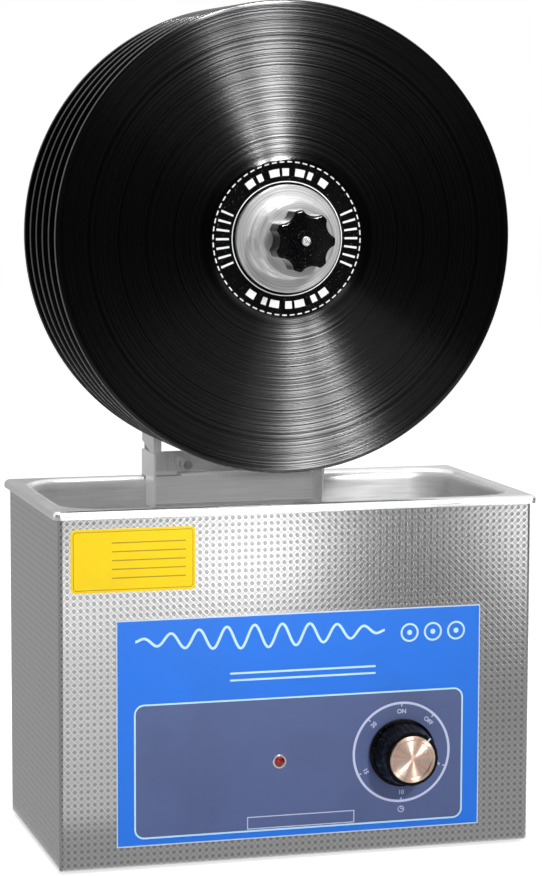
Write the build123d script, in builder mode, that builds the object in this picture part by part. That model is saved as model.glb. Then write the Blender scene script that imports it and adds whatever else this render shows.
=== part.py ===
"""Record cleaning machine: an ultrasonic bath with a motor-driven record rack on its rear edge.

Millimetres. The origin is on the surface that the machine stands on, under the middle of the
casing. +Z is up, the dial faces -Y, and +X is to the right of someone who looks at the dial.
"""

from build123d import *
from math import cos, radians, sin
import os

os.makedirs("parts", exist_ok=True)

# ---------------------------------------------------------------- driving dimensions
# Clearances
run_gap = 0.05          # radial, between a turning or sliding shaft and its hole
body_gap = 0.3          # between pieces that move past each other
screw_r = 2.0           # M4 shank
screw_head_r = 3.45
screw_head_h = 2.2
screw_bite = 1.0        # shank past what it holds

# Casing and base
foot_h = 3.0
foot_r = 8.0
foot_inset = 24.0       # foot centre, in from the casing's faces
foot_recess = 2.4
sheet = 1.0             # casing and tank sheet
case_corner_r = 3.0
base_flange = 34.0      # turned-in bottom edge of the casing
base_plate_t = 1.2
vent_w, vent_h, vent_pitch, vent_count = 3.0, 34.0, 9.0, 7
vent_x = 0.0

# Tank and its rim
tank_margin_x = 10.5    # tank's wall to the casing's face
tank_margin_y = 11.5
tank_depth = 150.0
stack_clear = 9.8       # transducers' bolts, above the board
tank_corner_r = 25.0
tank_floor_r = 10.0
rim_overhang = 3.6      # past the casing
rim_lip_h = 5.2
rim_edge_r = 3.2
rim_roll_r = 7.0
rim_corner_r = 5.0

# Transducers under the tank
transducer_count = 3
transducer_pitch = 92.0
head_r, head_tail_r, head_h = 27.0, 20.0, 24.0
piezo_r, piezo_bore_r, piezo_t, electrode_gap = 19.0, 8.0, 5.0, 0.4
tail_r, tail_h = 18.0, 18.0
stack_bolt_r, stack_bolt_head_r, stack_bolt_head_h = 5.0, 8.0, 8.0
stack_bolt_grip = 16.0  # thread inside the radiating head

# Generator
board_x, board_w, board_d, board_t = 10.0, 120.0, 70.0, 1.6
board_rear_gap = 32.5   # board's edge to the casing's rear face
board_lift = 5.0
board_post_r = 3.0
board_post_inset = 5.0
tall_row_inset = 12.0   # row of tall components, in from the board's rear edge
sink_x, sink_w, sink_d, sink_h, sink_fins, sink_base = -22.0, 46.0, 18.0, 34.0, 6, 4.0
core_x, core_w, core_d, core_h, coil_r = 26.0, 30.0, 22.0, 26.0, 9.0
cap_x, cap_r, cap_h, cap_span = 60.0, 7.5, 28.0, 17.0

# Cooling fan, on the rear wall
fan_inset, fan_drop, fan_side, fan_t = 78.0, 7.4, 60.0, 15.0  # drop: frame, below the tank
fan_play = 3.5          # blades, short of the frame's two faces
fan_bore_r, fan_hub_r, fan_shaft_r, fan_screw_span = 27.0, 12.0, 1.5, 50.0
fan_strut_w, fan_strut_t = 4.0, 2.0
fan_blades, fan_blade_t, fan_blade_pitch_deg = 7, 1.4, 38.0
guard_t, guard_wire = 1.6, 1.6
small_screw_r, small_head_r, small_head_h = 1.5, 2.9, 1.7

# Mains inlet with a fuse drawer, on the rear wall
inlet_inset = 58.0
inlet_w, inlet_h, inlet_depth = 28.0, 34.0, 24.0
inlet_flange_w, inlet_flange_t, inlet_screw_span = 50.0, 2.5, 40.0
socket_w, socket_h, socket_depth = 24.4, 16.6, 16.0
pin_w, pin_h, pin_reach, pin_pitch = 2.0, 4.0, 13.0, 7.0
drawer_w, drawer_h, drawer_depth = 20.0, 7.0, 18.0
drawer_grip_t = 1.0
drawer_drop = 9.0       # the drawer's centre, below the inlet's
socket_rise = 5.0       # the socket's centre, above the inlet's

# Front overlay, label, lamp and timer
overlay_x, overlay_w, overlay_h, overlay_t = 0.6, 244.0, 146.4, 0.4
label_inset, label_drop = 7.6, 11.05  # label's edges to the casing's side and top
label_w, label_h, label_t, label_corner_r = 80.8, 40.5, 0.2, 3.0
lamp_off_x, lamp_off_z = -14.6, -23.3  # from the overlay's centre
lens_r, bezel_r, bezel_t, lamp_barrel_r, lamp_depth = 3.5, 4.7, 1.1, 4.1, 16.0
dial_off_x, dial_off_z = 68.4, -22.1
timer_w, timer_depth, timer_above, timer_below = 42.0, 38.0, 12.0, 26.0
timer_drop = 3.3        # timer's top, below the tank
timer_bush_r, timer_bush_reach, timer_shaft_r = 4.5, 2.0, 3.0
knob_base_r, knob_front_r, knob_h, knob_gap = 22.2, 17.8, 21.8, 0.6
knob_step_h, knob_flutes, flute_r = 3.0, 24, 1.6
knob_cap_r, knob_cap_t, knob_recess_r, knob_recess_h = 15.25, 1.2, 8.0, 3.0
shaft_in_knob = 14.0

# Records and the spindle
record_count = 6
record_r = 151.0
record_pitch = 20.0
record_hole_r = 3.65
record_web = 1.6        # thickness in the grooves
record_bead = 2.0       # thickness at the edge
record_hub_t = 2.4      # thickness at the label
label_area_r = 50.5
bead_w = 3.0
record_front_gap = 7.4  # first record's middle, behind the tank's front wall
record_side_gap = 7.98  # lowered record's edge to the tank's side wall, at the rim
mast_gap = 12.4         # last record's middle to the mast's front face
raised_clear = 17.2     # lowest edge of a record, above the rim, with the rack raised
rack_x = -4.8           # middle of the rack, on the rim
spindle_r = 3.6
stud_r = 3.0            # threaded front end of the spindle
clamp_r = 34.5
clamp_flange_t = 4.4
clamp_boss_r, clamp_boss_h = 24.75, 19.0
spacer_core_r, spacer_flange_t = 14.0, 2.0
hub_flange_t, hub_r, hub_len = 4.0, 11.0, 5.4
star_lobes, star_r, star_valley_r, star_scallop_r, star_tip_r, star_t = 7, 19.6, 16.2, 9.0, 2.0, 18.0
insert_r, insert_proud = 6.75, 0.8
stud_reach = 20.6       # past the clamp's boss
stud_start = 2.0        # behind the boss's front face

# Rack saddle, on the tank's rear rim
rack_sheet = 1.5
saddle_w = 121.0
saddle_d = 35.7
cheek_above_rim = 18.6
apron_below_rim = 18.9
apron_gap = 1.0         # behind the apron, to the tank's wall
rim_clear = 0.8         # cheeks, above the rim
riser_h = 16.1
tab_w = 72.0            # part that hooks over the rim
skirt_gap = 12.5        # casing's rear wall to the skirt
skirt_h = 35.0
thumb_pitch, thumb_drop = 48.0, 21.4
thumb_r, thumb_head_r, thumb_head_t, thumb_boss_r = 3.0, 10.0, 7.0, 6.5
thumb_travel = 5.0
thumb_head_gap = 2.0
pad_r, pad_t, pad_seat = 7.0, 3.0, 1.8

# Mast posts and bridge
lip_front, lip_rear = 5.5, 12.0
post_rise = 19.0        # post's lower edge, above the rim
post_corner_r = 5.5
post_cut = 24.0         # length of the sloped cut at the foot of the side
foot_tab_w, foot_tab_h = 32.5, 13.4
neck_w = 10.5           # strip that joins the tab to the rear lip
tab_screw_x, tab_screw_down = 34.7, 7.0   # from the middle, and below the riser's top
dark_screw_x, dark_screw_down = 28.3, 10.0
post_head = 41.0        # post's top, above the spindle
top_tab_w, top_tab_d = 18.0, 24.0
bridge_t, bridge_corner_r = 3.0, 4.0
bridge_screw_x, bridge_screw_span = 50.0, 14.0

# Lift carriage and gear motor
lift_travel = 100.0
carriage_half_h = 34.0
carriage_t = 2.0
carriage_web_y = 5.2    # behind the posts' front face
shoe_t = 7.2
motor_r, motor_depth, motor_plate, motor_plate_t, motor_screw_at = 30.0, 24.0, 60.0, 3.0, 25.5
motor_plate_corner_r = 6.0
motor_boss_r, motor_boss_h = 12.0, 6.0
sleeve_r = 7.0
sleeve_behind_web = 20.0
sleeve_cap_t = 4.0
cover_w, cover_h, cover_depth, cover_t, cover_r = 84.0, 66.0, 42.0, 1.2, 5.0
jack_x, jack_down, jack_r, jack_flange_r, jack_len, jack_bore_r = 28.0, 20.0, 4.0, 6.0, 10.0, 2.4
shoe_screw_up = 22.0
lock_r, lock_knob_r, lock_knob_t, lock_washer_r, lock_washer_t = 3.0, 13.0, 14.0, 8.0, 2.0
lock_lobes, lock_lobe_r = 5, 4.5
lock_grip = 6.0         # stud inside the shoe

# ---------------------------------------------------------------- places that follow from them
lowered_height = raised_clear + record_r - lift_travel  # spindle above the rim, rack lowered
lowered_half_chord = (record_r**2 - lowered_height**2) ** 0.5
tank_w = 2 * (lowered_half_chord + abs(rack_x) + record_side_gap)
tank_d = record_front_gap + (record_count - 1) * record_pitch + mast_gap + saddle_d - tank_margin_y
case_w = tank_w + 2 * tank_margin_x
case_d = tank_d + 2 * tank_margin_y
rear_y = case_d / 2
front_y = -case_d / 2
plate_top = foot_h + sheet + base_plate_t
board_z = plate_top + board_lift
board_top = board_z + board_t
stack_h = head_h + 2 * piezo_t + 2 * electrode_gap + tail_h + stack_bolt_head_h
tank_under = board_top + stack_clear + stack_h
tank_floor = tank_under + sheet
rim_top = tank_floor + tank_depth
case_h = rim_top - sheet - foot_h
fan_x = -case_w / 2 + fan_inset
inlet_x = case_w / 2 - inlet_inset
label_x = -case_w / 2 + label_inset + label_w / 2
label_z = foot_h + case_h - label_drop - label_h / 2
dial_x, dial_z = overlay_x + dial_off_x, tank_under - timer_drop - timer_above
overlay_z = dial_z - dial_off_z
lamp_x, lamp_z = overlay_x + lamp_off_x, overlay_z + lamp_off_z
fan_z = tank_under - fan_drop - fan_side / 2
inlet_z = fan_z
board_y = rear_y - board_rear_gap - board_d / 2
tall_row_y = board_y + board_d / 2 - tall_row_inset
overlay_front = front_y - overlay_t
first_record_y = -tank_d / 2 + record_front_gap
last_record_y = first_record_y + (record_count - 1) * record_pitch
spindle_z = rim_top + raised_clear + record_r
clamp_back = first_record_y - record_hub_t / 2 - body_gap
clamp_face = clamp_back - clamp_flange_t
boss_face = clamp_face - clamp_boss_h
star_back = boss_face - body_gap
star_face = star_back - star_t
stud_tip = boss_face - stud_reach
hub_front = last_record_y + record_hub_t / 2
hub_back = hub_front + hub_flange_t + hub_len
cheek_front = rear_y - saddle_d
riser_front = rear_y - rack_sheet
apron_back = tank_d / 2 - apron_gap
saddle_top = rim_top + cheek_above_rim
apron_bottom = rim_top - apron_below_rim
riser_top = rim_top + riser_h
skirt_front = rear_y + skirt_gap
skirt_back = skirt_front + rack_sheet
thumb_z = rim_top - thumb_drop
pad_front = rear_y + body_gap
pad_back = pad_front + pad_t
thumb_boss_front = pad_back + thumb_travel + body_gap
post_half = saddle_w / 2
post_back = riser_front
post_bottom = rim_top + post_rise
post_top = spindle_z + post_head
foot_tab_bottom = riser_top - foot_tab_h
neck_top = post_bottom + 2 * post_corner_r
tab_screw_z = riser_top - tab_screw_down
dark_screw_z = riser_top - dark_screw_down
web_front = cheek_front + carriage_web_y
web_back = web_front + carriage_t
shoe_outer = post_half - rack_sheet - body_gap
shoe_inner = shoe_outer - shoe_t
shoe_front = cheek_front + rack_sheet + body_gap
shoe_back = post_back - rack_sheet - body_gap
lock_y = (shoe_front + shoe_back) / 2
washer_x = rack_x + post_half + body_gap
lock_x = washer_x + lock_washer_t + body_gap


def save(part, name):
    """Names the finished piece and writes its file."""
    part.label = name
    export_step(part, f"parts/{name}.step")


def facing_front(y):
    """Sketch plane at depth y, seen from the front: sketch x is X and sketch y is Z.

    A positive extrusion comes forward, towards -Y.
    """
    return Plane.XZ.offset(-y)


def across(x):
    """Sketch plane at x: sketch x is Y, sketch y is Z, and a positive extrusion goes to +X."""
    return Plane.YZ.offset(x)


def turned(points, axis_x, axis_z):
    """Face of revolution about the line through (axis_x, axis_z) along Y.

    The points are (radius, y). It is called inside a BuildPart.
    """
    with BuildSketch(Plane((axis_x, 0, axis_z))) as profile:
        with BuildLine():
            Polyline(*points, close=True)
        make_face()
    revolve(profile.sketch, axis=Axis((axis_x, 0, axis_z), (0, 1, 0)))


# ---------------------------------------------------------------- casing and base
foot_spots = GridLocations(case_w - 2 * foot_inset, case_d - 2 * foot_inset, 2, 2)

with BuildPart() as casing:
    with BuildSketch(Plane.XY.offset(foot_h)):
        RectangleRounded(case_w, case_d, case_corner_r)
    extrude(amount=case_h)
    with BuildSketch(Plane.XY.offset(foot_h + sheet)):
        RectangleRounded(case_w - 2 * sheet, case_d - 2 * sheet, case_corner_r - sheet)
    extrude(amount=case_h, mode=Mode.SUBTRACT)
    with BuildSketch(Plane.XY.offset(foot_h)):
        RectangleRounded(case_w - 2 * base_flange, case_d - 2 * base_flange, 2 * case_corner_r)
        with foot_spots:
            Circle(screw_r)
    extrude(amount=sheet, mode=Mode.SUBTRACT)
    with BuildSketch(facing_front(front_y)):
        with Locations((dial_x, dial_z)):
            Circle(timer_bush_r)
        with Locations((lamp_x, lamp_z)):
            Circle(lamp_barrel_r)
    extrude(amount=-sheet, mode=Mode.SUBTRACT)
    with BuildSketch(facing_front(rear_y)):
        with Locations((fan_x, fan_z)):
            Circle(fan_bore_r)
            with GridLocations(fan_screw_span, fan_screw_span, 2, 2):
                Circle(small_screw_r)
        with Locations((inlet_x, inlet_z)):
            Rectangle(inlet_w, inlet_h)
            with GridLocations(inlet_screw_span, 0, 2, 1):
                Circle(small_screw_r)
        with Locations((vent_x, fan_z)):
            with GridLocations(vent_pitch, 0, vent_count, 1):
                SlotOverall(vent_h, vent_w, rotation=90)
    extrude(amount=sheet, mode=Mode.SUBTRACT)
save(casing.part, "casing")

with BuildPart() as base_plate:
    with BuildSketch(Plane.XY.offset(foot_h + sheet)):
        RectangleRounded(
            case_w - 2 * sheet - 2 * body_gap, case_d - 2 * sheet - 2 * body_gap, case_corner_r - sheet
        )
        with foot_spots:
            Circle(screw_r, mode=Mode.SUBTRACT)
        with Locations((0, -case_d / 4)):
            with GridLocations(2 * vent_pitch, 0, vent_count, 1):
                SlotOverall(vent_h, vent_w, rotation=90, mode=Mode.SUBTRACT)
    extrude(amount=base_plate_t)
save(base_plate.part, "base_plate")

with BuildPart() as rubber_feet:
    with BuildSketch(Plane.XY):
        with foot_spots:
            Circle(foot_r)
            Circle(screw_r, mode=Mode.SUBTRACT)
    extrude(amount=foot_h)
    with BuildSketch(Plane.XY):
        with foot_spots:
            Circle(screw_head_r + body_gap)
    extrude(amount=foot_recess, mode=Mode.SUBTRACT)
save(rubber_feet.part, "rubber_feet")

with BuildPart() as base_screws:
    with BuildSketch(Plane.XY.offset(foot_recess - screw_head_h)):
        with foot_spots:
            Circle(screw_head_r)
    extrude(amount=screw_head_h)
    with BuildSketch(Plane.XY.offset(foot_recess)):
        with foot_spots:
            Circle(screw_r)
    extrude(amount=plate_top - foot_recess + screw_bite)
save(base_screws.part, "base_screws")

# ---------------------------------------------------------------- tank
with BuildPart() as tank_hollow:
    with BuildSketch(Plane.XY.offset(tank_floor)):
        RectangleRounded(tank_w, tank_d, tank_corner_r)
    extrude(amount=tank_depth)
    fillet(tank_hollow.faces().sort_by(Axis.Z)[0].edges(), radius=tank_floor_r)

with BuildPart() as tank:
    with BuildSketch(Plane.XY.offset(tank_under)):
        RectangleRounded(tank_w + 2 * sheet, tank_d + 2 * sheet, tank_corner_r + sheet)
    extrude(amount=rim_top - sheet - tank_under)
    fillet(tank.faces().sort_by(Axis.Z)[0].edges(), radius=tank_floor_r + sheet)
    with BuildSketch(Plane.XY.offset(rim_top - rim_lip_h)):
        RectangleRounded(case_w + 2 * rim_overhang, case_d + 2 * rim_overhang, rim_corner_r)
    extrude(amount=rim_lip_h)
    fillet(tank.faces().sort_by(Axis.Z)[-1].outer_wire().edges(), radius=rim_edge_r)
    with BuildSketch(Plane.XY.offset(rim_top - rim_lip_h)):
        RectangleRounded(
            case_w + 2 * (rim_overhang - sheet), case_d + 2 * (rim_overhang - sheet), rim_corner_r - sheet
        )
        RectangleRounded(tank_w + 2 * sheet, tank_d + 2 * sheet, tank_corner_r + sheet, mode=Mode.SUBTRACT)
    extrude(amount=rim_lip_h - sheet, mode=Mode.SUBTRACT)
    inner_corner = (
        tank.edges()
        .filter_by(lambda e: abs(e.center().Z - (rim_top - sheet)) < 0.01)
        .filter_by(lambda e: abs(e.center().X) < tank_w / 2 + 2 * sheet)
        .filter_by(lambda e: abs(e.center().Y) < tank_d / 2 + 2 * sheet)
    )
    fillet(inner_corner, radius=rim_roll_r - sheet)
    add(tank_hollow.part, mode=Mode.SUBTRACT)
    mouth = (
        tank.edges()
        .filter_by(lambda e: abs(e.center().Z - rim_top) < 0.01)
        .filter_by(lambda e: abs(e.center().X) < tank_w / 2 + sheet)
        .filter_by(lambda e: abs(e.center().Y) < tank_d / 2 + sheet)
    )
    fillet(mouth, radius=rim_roll_r)
save(tank.part, "tank")

# ---------------------------------------------------------------- transducers
transducer_spots = GridLocations(transducer_pitch, 0, transducer_count, 1)
head_bottom = tank_under - head_h
stack_bottom = head_bottom - 2 * piezo_t - 2 * electrode_gap
tail_bottom = stack_bottom - tail_h

with BuildPart() as transducer_heads:
    with Locations((0, 0, head_bottom + head_h / 2)):
        with GridLocations(transducer_pitch, 0, transducer_count, 1):
            Cone(head_tail_r, head_r, head_h)
    with BuildSketch(Plane.XY.offset(head_bottom)):
        with transducer_spots:
            Circle(stack_bolt_r)
    extrude(amount=stack_bolt_grip, mode=Mode.SUBTRACT)
save(transducer_heads.part, "transducer_heads")

with BuildPart() as piezo_rings:
    for ring_bottom in (stack_bottom, stack_bottom + piezo_t + electrode_gap):
        with BuildSketch(Plane.XY.offset(ring_bottom)):
            with transducer_spots:
                Circle(piezo_r)
                Circle(piezo_bore_r, mode=Mode.SUBTRACT)
        extrude(amount=piezo_t)
save(piezo_rings.part, "piezo_rings")

with BuildPart() as transducer_tails:
    with BuildSketch(Plane.XY.offset(tail_bottom)):
        with transducer_spots:
            Circle(tail_r)
            Circle(stack_bolt_r, mode=Mode.SUBTRACT)
    extrude(amount=tail_h)
save(transducer_tails.part, "transducer_tails")

with BuildPart() as transducer_bolts:
    with BuildSketch(Plane.XY.offset(tail_bottom - stack_bolt_head_h)):
        with transducer_spots:
            RegularPolygon(stack_bolt_head_r, 6)
    extrude(amount=stack_bolt_head_h)
    with BuildSketch(Plane.XY.offset(tail_bottom)):
        with transducer_spots:
            Circle(stack_bolt_r)
    extrude(amount=head_bottom + stack_bolt_grip - tail_bottom)
save(transducer_bolts.part, "transducer_bolts")

# ---------------------------------------------------------------- generator
with BuildPart() as generator_board:
    with BuildSketch(Plane.XY.offset(board_z)):
        with Locations((board_x, board_y)):
            Rectangle(board_w, board_d)
    extrude(amount=board_t)
    with BuildSketch(Plane.XY.offset(plate_top)):
        with Locations((board_x, board_y)):
            with GridLocations(board_w - 2 * board_post_inset, board_d - 2 * board_post_inset, 2, 2):
                Circle(board_post_r)
    extrude(amount=board_lift)
save(generator_board.part, "generator_board")

with BuildPart() as heat_sink:
    with BuildSketch(Plane.XY.offset(board_top)):
        with Locations((sink_x, tall_row_y)):
            Rectangle(sink_w, sink_d)
    extrude(amount=sink_base)
    with BuildSketch(Plane.XY.offset(board_top + sink_base)):
        with Locations((sink_x, tall_row_y)):
            with GridLocations((sink_w - sink_base) / (sink_fins - 1), 0, sink_fins, 1):
                Rectangle(sink_base, sink_d)
    extrude(amount=sink_h - sink_base)
save(heat_sink.part, "heat_sink")

with BuildPart() as output_transformer:
    with BuildSketch(Plane.XY.offset(board_top)):
        with Locations((core_x, tall_row_y)):
            Rectangle(core_w, core_d)
    extrude(amount=core_h)
    with BuildSketch(Plane.XY.offset(board_top + core_h / 4)):
        with Locations((core_x, tall_row_y)):
            with GridLocations(core_w / 2, 0, 2, 1):
                Rectangle(core_w / 4, core_d)
    extrude(amount=core_h / 2, mode=Mode.SUBTRACT)
    with BuildSketch(Plane.XY.offset(board_top + core_h / 4)):
        with Locations((core_x, tall_row_y)):
            Circle(coil_r)
    extrude(amount=core_h / 2)
save(output_transformer.part, "output_transformer")

with BuildPart() as filter_capacitors:
    with BuildSketch(Plane.XY.offset(board_top)):
        with Locations((cap_x, tall_row_y)):
            with GridLocations(0, cap_span, 1, 2):
                Circle(cap_r)
    extrude(amount=cap_h)
    fillet(filter_capacitors.faces().sort_by(Axis.Z)[-2:].edges(), radius=cap_r / 8)
save(filter_capacitors.part, "filter_capacitors")

# ---------------------------------------------------------------- cooling fan
fan_back = rear_y - sheet
fan_front = fan_back - fan_t
strut_back = fan_back - fan_t + fan_strut_t

with BuildPart() as fan_frame:
    with BuildSketch(facing_front(fan_back)):
        with Locations((fan_x, fan_z)):
            RectangleRounded(fan_side, fan_side, case_corner_r)
            Circle(fan_bore_r, mode=Mode.SUBTRACT)
            with GridLocations(fan_screw_span, fan_screw_span, 2, 2):
                Circle(small_screw_r, mode=Mode.SUBTRACT)
    extrude(amount=fan_t)
    with BuildSketch(facing_front(strut_back)):
        with Locations((fan_x, fan_z)):
            Circle(fan_hub_r)
            Rectangle(2 * fan_bore_r + fan_strut_w, fan_strut_w)
            Rectangle(fan_strut_w, 2 * fan_bore_r + fan_strut_w)
            Circle(fan_shaft_r + run_gap, mode=Mode.SUBTRACT)
    extrude(amount=fan_strut_t)
save(fan_frame.part, "fan_frame")

fan_hub_front = strut_back + body_gap
fan_hub_back = fan_back - fan_strut_t
fan_middle = (fan_hub_front + fan_hub_back) / 2
blade_outer = fan_bore_r - 2 * body_gap
with BuildPart() as fan_rotor:
    with BuildSketch(facing_front(fan_hub_back)):
        with Locations((fan_x, fan_z)):
            Circle(fan_hub_r)
    extrude(amount=fan_hub_back - fan_hub_front)
    with BuildSketch(facing_front(fan_hub_front)):
        with Locations((fan_x, fan_z)):
            Circle(fan_shaft_r)
    extrude(amount=fan_strut_t + body_gap)
    for blade in range(fan_blades):
        turn = 360 / fan_blades * blade
        blade_plane = Plane(
            origin=(
                fan_x + (fan_hub_r - 1) * cos(radians(turn)),
                fan_middle,
                fan_z + (fan_hub_r - 1) * sin(radians(turn)),
            ),
            x_dir=(0, 1, 0),
            z_dir=(cos(radians(turn)), 0, sin(radians(turn))),
        )
        with BuildSketch(blade_plane):
            Rectangle(fan_t - 2 * fan_play, fan_blade_t, rotation=fan_blade_pitch_deg)
        extrude(amount=blade_outer - fan_hub_r)
save(fan_rotor.part, "fan_rotor")

with BuildPart() as fan_guard:
    with BuildSketch(facing_front(rear_y + guard_t)):
        with Locations((fan_x, fan_z)):
            for ring in (1, 0.7, 0.4):
                Circle(fan_bore_r * ring + guard_wire / 2)
                Circle(fan_bore_r * ring - guard_wire / 2, mode=Mode.SUBTRACT)
            Rectangle(fan_screw_span * 1.414, guard_wire, rotation=45)
            Rectangle(fan_screw_span * 1.414, guard_wire, rotation=-45)
            with GridLocations(fan_screw_span, fan_screw_span, 2, 2):
                Circle(small_head_r)
            with GridLocations(fan_screw_span, fan_screw_span, 2, 2):
                Circle(small_screw_r, mode=Mode.SUBTRACT)
    extrude(amount=guard_t)
save(fan_guard.part, "fan_guard")

# ---------------------------------------------------------------- mains inlet
socket_z = inlet_z + socket_rise
drawer_z = inlet_z - drawer_drop
inlet_back = rear_y + inlet_flange_t

with BuildPart() as mains_inlet:
    with BuildSketch(facing_front(inlet_back)):
        with Locations((inlet_x, inlet_z)):
            SlotOverall(inlet_flange_w, inlet_h + 4)
            Rectangle(inlet_w + 4, inlet_h + 4)
            with GridLocations(inlet_screw_span, 0, 2, 1):
                Circle(small_screw_r, mode=Mode.SUBTRACT)
    extrude(amount=inlet_flange_t)
    with BuildSketch(facing_front(rear_y)):
        with Locations((inlet_x, inlet_z)):
            Rectangle(inlet_w - 0.4, inlet_h - 0.4)
    extrude(amount=inlet_depth)
    with BuildSketch(facing_front(inlet_back)):
        with Locations((inlet_x, socket_z)):
            Rectangle(socket_w, socket_h)
    extrude(amount=socket_depth, mode=Mode.SUBTRACT)
    with BuildSketch(facing_front(inlet_back)):
        with Locations((inlet_x, drawer_z)):
            Rectangle(drawer_w + 2 * run_gap, drawer_h + 2 * run_gap)
    extrude(amount=drawer_depth + body_gap, mode=Mode.SUBTRACT)
    with BuildSketch(facing_front(inlet_back - socket_depth + pin_reach)):
        with Locations((inlet_x, socket_z)):
            with GridLocations(2 * pin_pitch, 0, 2, 1):
                Rectangle(pin_w, pin_h)
        with Locations((inlet_x, socket_z + pin_h)):
            Rectangle(pin_w, pin_h)
    extrude(amount=pin_reach + 0.5)
save(mains_inlet.part, "mains_inlet")

with BuildPart() as fuse_drawer:
    with BuildSketch(facing_front(inlet_back)):
        with Locations((inlet_x, drawer_z)):
            Rectangle(drawer_w, drawer_h)
    extrude(amount=drawer_depth)
    with BuildSketch(facing_front(inlet_back + drawer_grip_t)):
        with Locations((inlet_x, drawer_z)):
            Rectangle(drawer_w / 2, drawer_h / 2)
    extrude(amount=drawer_grip_t)
save(fuse_drawer.part, "fuse_drawer")

with BuildPart() as panel_screws:
    fan_head_back = rear_y + guard_t + small_head_h
    inlet_head_back = inlet_back + small_head_h
    with BuildSketch(facing_front(fan_head_back)):
        with Locations((fan_x, fan_z)):
            with GridLocations(fan_screw_span, fan_screw_span, 2, 2):
                Circle(small_head_r)
    extrude(amount=small_head_h)
    with BuildSketch(facing_front(fan_head_back - small_head_h)):
        with Locations((fan_x, fan_z)):
            with GridLocations(fan_screw_span, fan_screw_span, 2, 2):
                Circle(small_screw_r)
    extrude(amount=guard_t + sheet + fan_t)
    with BuildSketch(facing_front(inlet_head_back)):
        with Locations((inlet_x, inlet_z)):
            with GridLocations(inlet_screw_span, 0, 2, 1):
                Circle(small_head_r)
    extrude(amount=small_head_h)
    with BuildSketch(facing_front(inlet_back)):
        with Locations((inlet_x, inlet_z)):
            with GridLocations(inlet_screw_span, 0, 2, 1):
                Circle(small_screw_r)
    extrude(amount=inlet_flange_t + sheet + screw_bite)
save(panel_screws.part, "panel_screws")

# ---------------------------------------------------------------- front overlay, label, lamp
with BuildPart() as front_overlay:
    with BuildSketch(facing_front(front_y)):
        with Locations((overlay_x, overlay_z)):
            Rectangle(overlay_w, overlay_h)
        with Locations((dial_x, dial_z)):
            Circle(timer_bush_r, mode=Mode.SUBTRACT)
        with Locations((lamp_x, lamp_z)):
            Circle(lamp_barrel_r, mode=Mode.SUBTRACT)
    extrude(amount=overlay_t)
save(front_overlay.part, "front_overlay")

with BuildPart() as notice_label:
    with BuildSketch(facing_front(front_y)):
        with Locations((label_x, label_z)):
            RectangleRounded(label_w, label_h, label_corner_r)
    extrude(amount=label_t)
save(notice_label.part, "notice_label")

with BuildPart() as lamp_bezel:
    with BuildSketch(facing_front(overlay_front)):
        with Locations((lamp_x, lamp_z)):
            Circle(bezel_r)
            Circle(lens_r, mode=Mode.SUBTRACT)
    extrude(amount=bezel_t)
    fillet(lamp_bezel.edges().filter_by(GeomType.CIRCLE).group_by(Axis.Y)[0].sort_by(SortBy.RADIUS)[-1], radius=0.6)
save(lamp_bezel.part, "lamp_bezel")

with BuildPart() as lamp_lens:
    turned(
        [
            (0, overlay_front - 2.6),
            (lens_r * 0.55, overlay_front - 2.3),
            (lens_r, overlay_front - 1.2),
            (lens_r, overlay_front),
            (lens_r, front_y + lamp_depth),
            (0, front_y + lamp_depth),
        ],
        lamp_x,
        lamp_z,
    )
save(lamp_lens.part, "lamp_lens")

# ---------------------------------------------------------------- timer and its knob
bush_front = front_y - timer_bush_reach + 1.4
with BuildPart() as timer_body:
    with BuildSketch(facing_front(front_y + sheet + timer_depth)):
        with Locations((dial_x, dial_z + (timer_above - timer_below) / 2)):
            RectangleRounded(timer_w, timer_above + timer_below, 2 * sheet)
    extrude(amount=timer_depth)
    with BuildSketch(facing_front(front_y + sheet)):
        with Locations((dial_x, dial_z)):
            Circle(timer_bush_r)
    extrude(amount=front_y + sheet - bush_front)
    with BuildSketch(facing_front(bush_front)):
        with Locations((dial_x, dial_z)):
            Circle(timer_shaft_r + run_gap)
    extrude(amount=-(timer_depth - 2), mode=Mode.SUBTRACT)
save(timer_body.part, "timer_body")

knob_back = overlay_front - knob_gap
knob_front = knob_back - knob_h
with BuildPart() as timer_knob:
    turned(
        [
            (0, knob_back),
            (knob_base_r, knob_back),
            (knob_base_r, knob_back - knob_step_h),
            (knob_base_r - 1.6, knob_back - knob_step_h - 1),
            (knob_front_r, knob_front + 0.8),
            (knob_front_r - 0.8, knob_front),
            (0, knob_front),
        ],
        dial_x,
        dial_z,
    )
    flute_tilt = (knob_base_r - 1.6 - knob_front_r) / (knob_h - knob_step_h - 1.8)
    for flute in range(knob_flutes):
        turn = radians(360 / knob_flutes * (flute + 0.5))
        radial = Vector(cos(turn), 0, sin(turn))
        run = Vector(0, 1, 0) + radial * flute_tilt
        start = Vector(dial_x, knob_front - 1, dial_z) + radial * (knob_front_r + flute_r * 0.6)
        with BuildSketch(Plane(origin=start, z_dir=run)):
            Circle(flute_r)
        extrude(amount=knob_h - knob_step_h - 0.6, mode=Mode.SUBTRACT)
    with BuildSketch(facing_front(knob_back)):
        with Locations((dial_x, dial_z)):
            Circle(knob_recess_r)
    extrude(amount=knob_recess_h, mode=Mode.SUBTRACT)
    with BuildSketch(facing_front(knob_back)):
        with Locations((dial_x, dial_z)):
            Circle(timer_shaft_r)
    extrude(amount=shaft_in_knob, mode=Mode.SUBTRACT)
save(timer_knob.part, "timer_knob")

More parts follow.
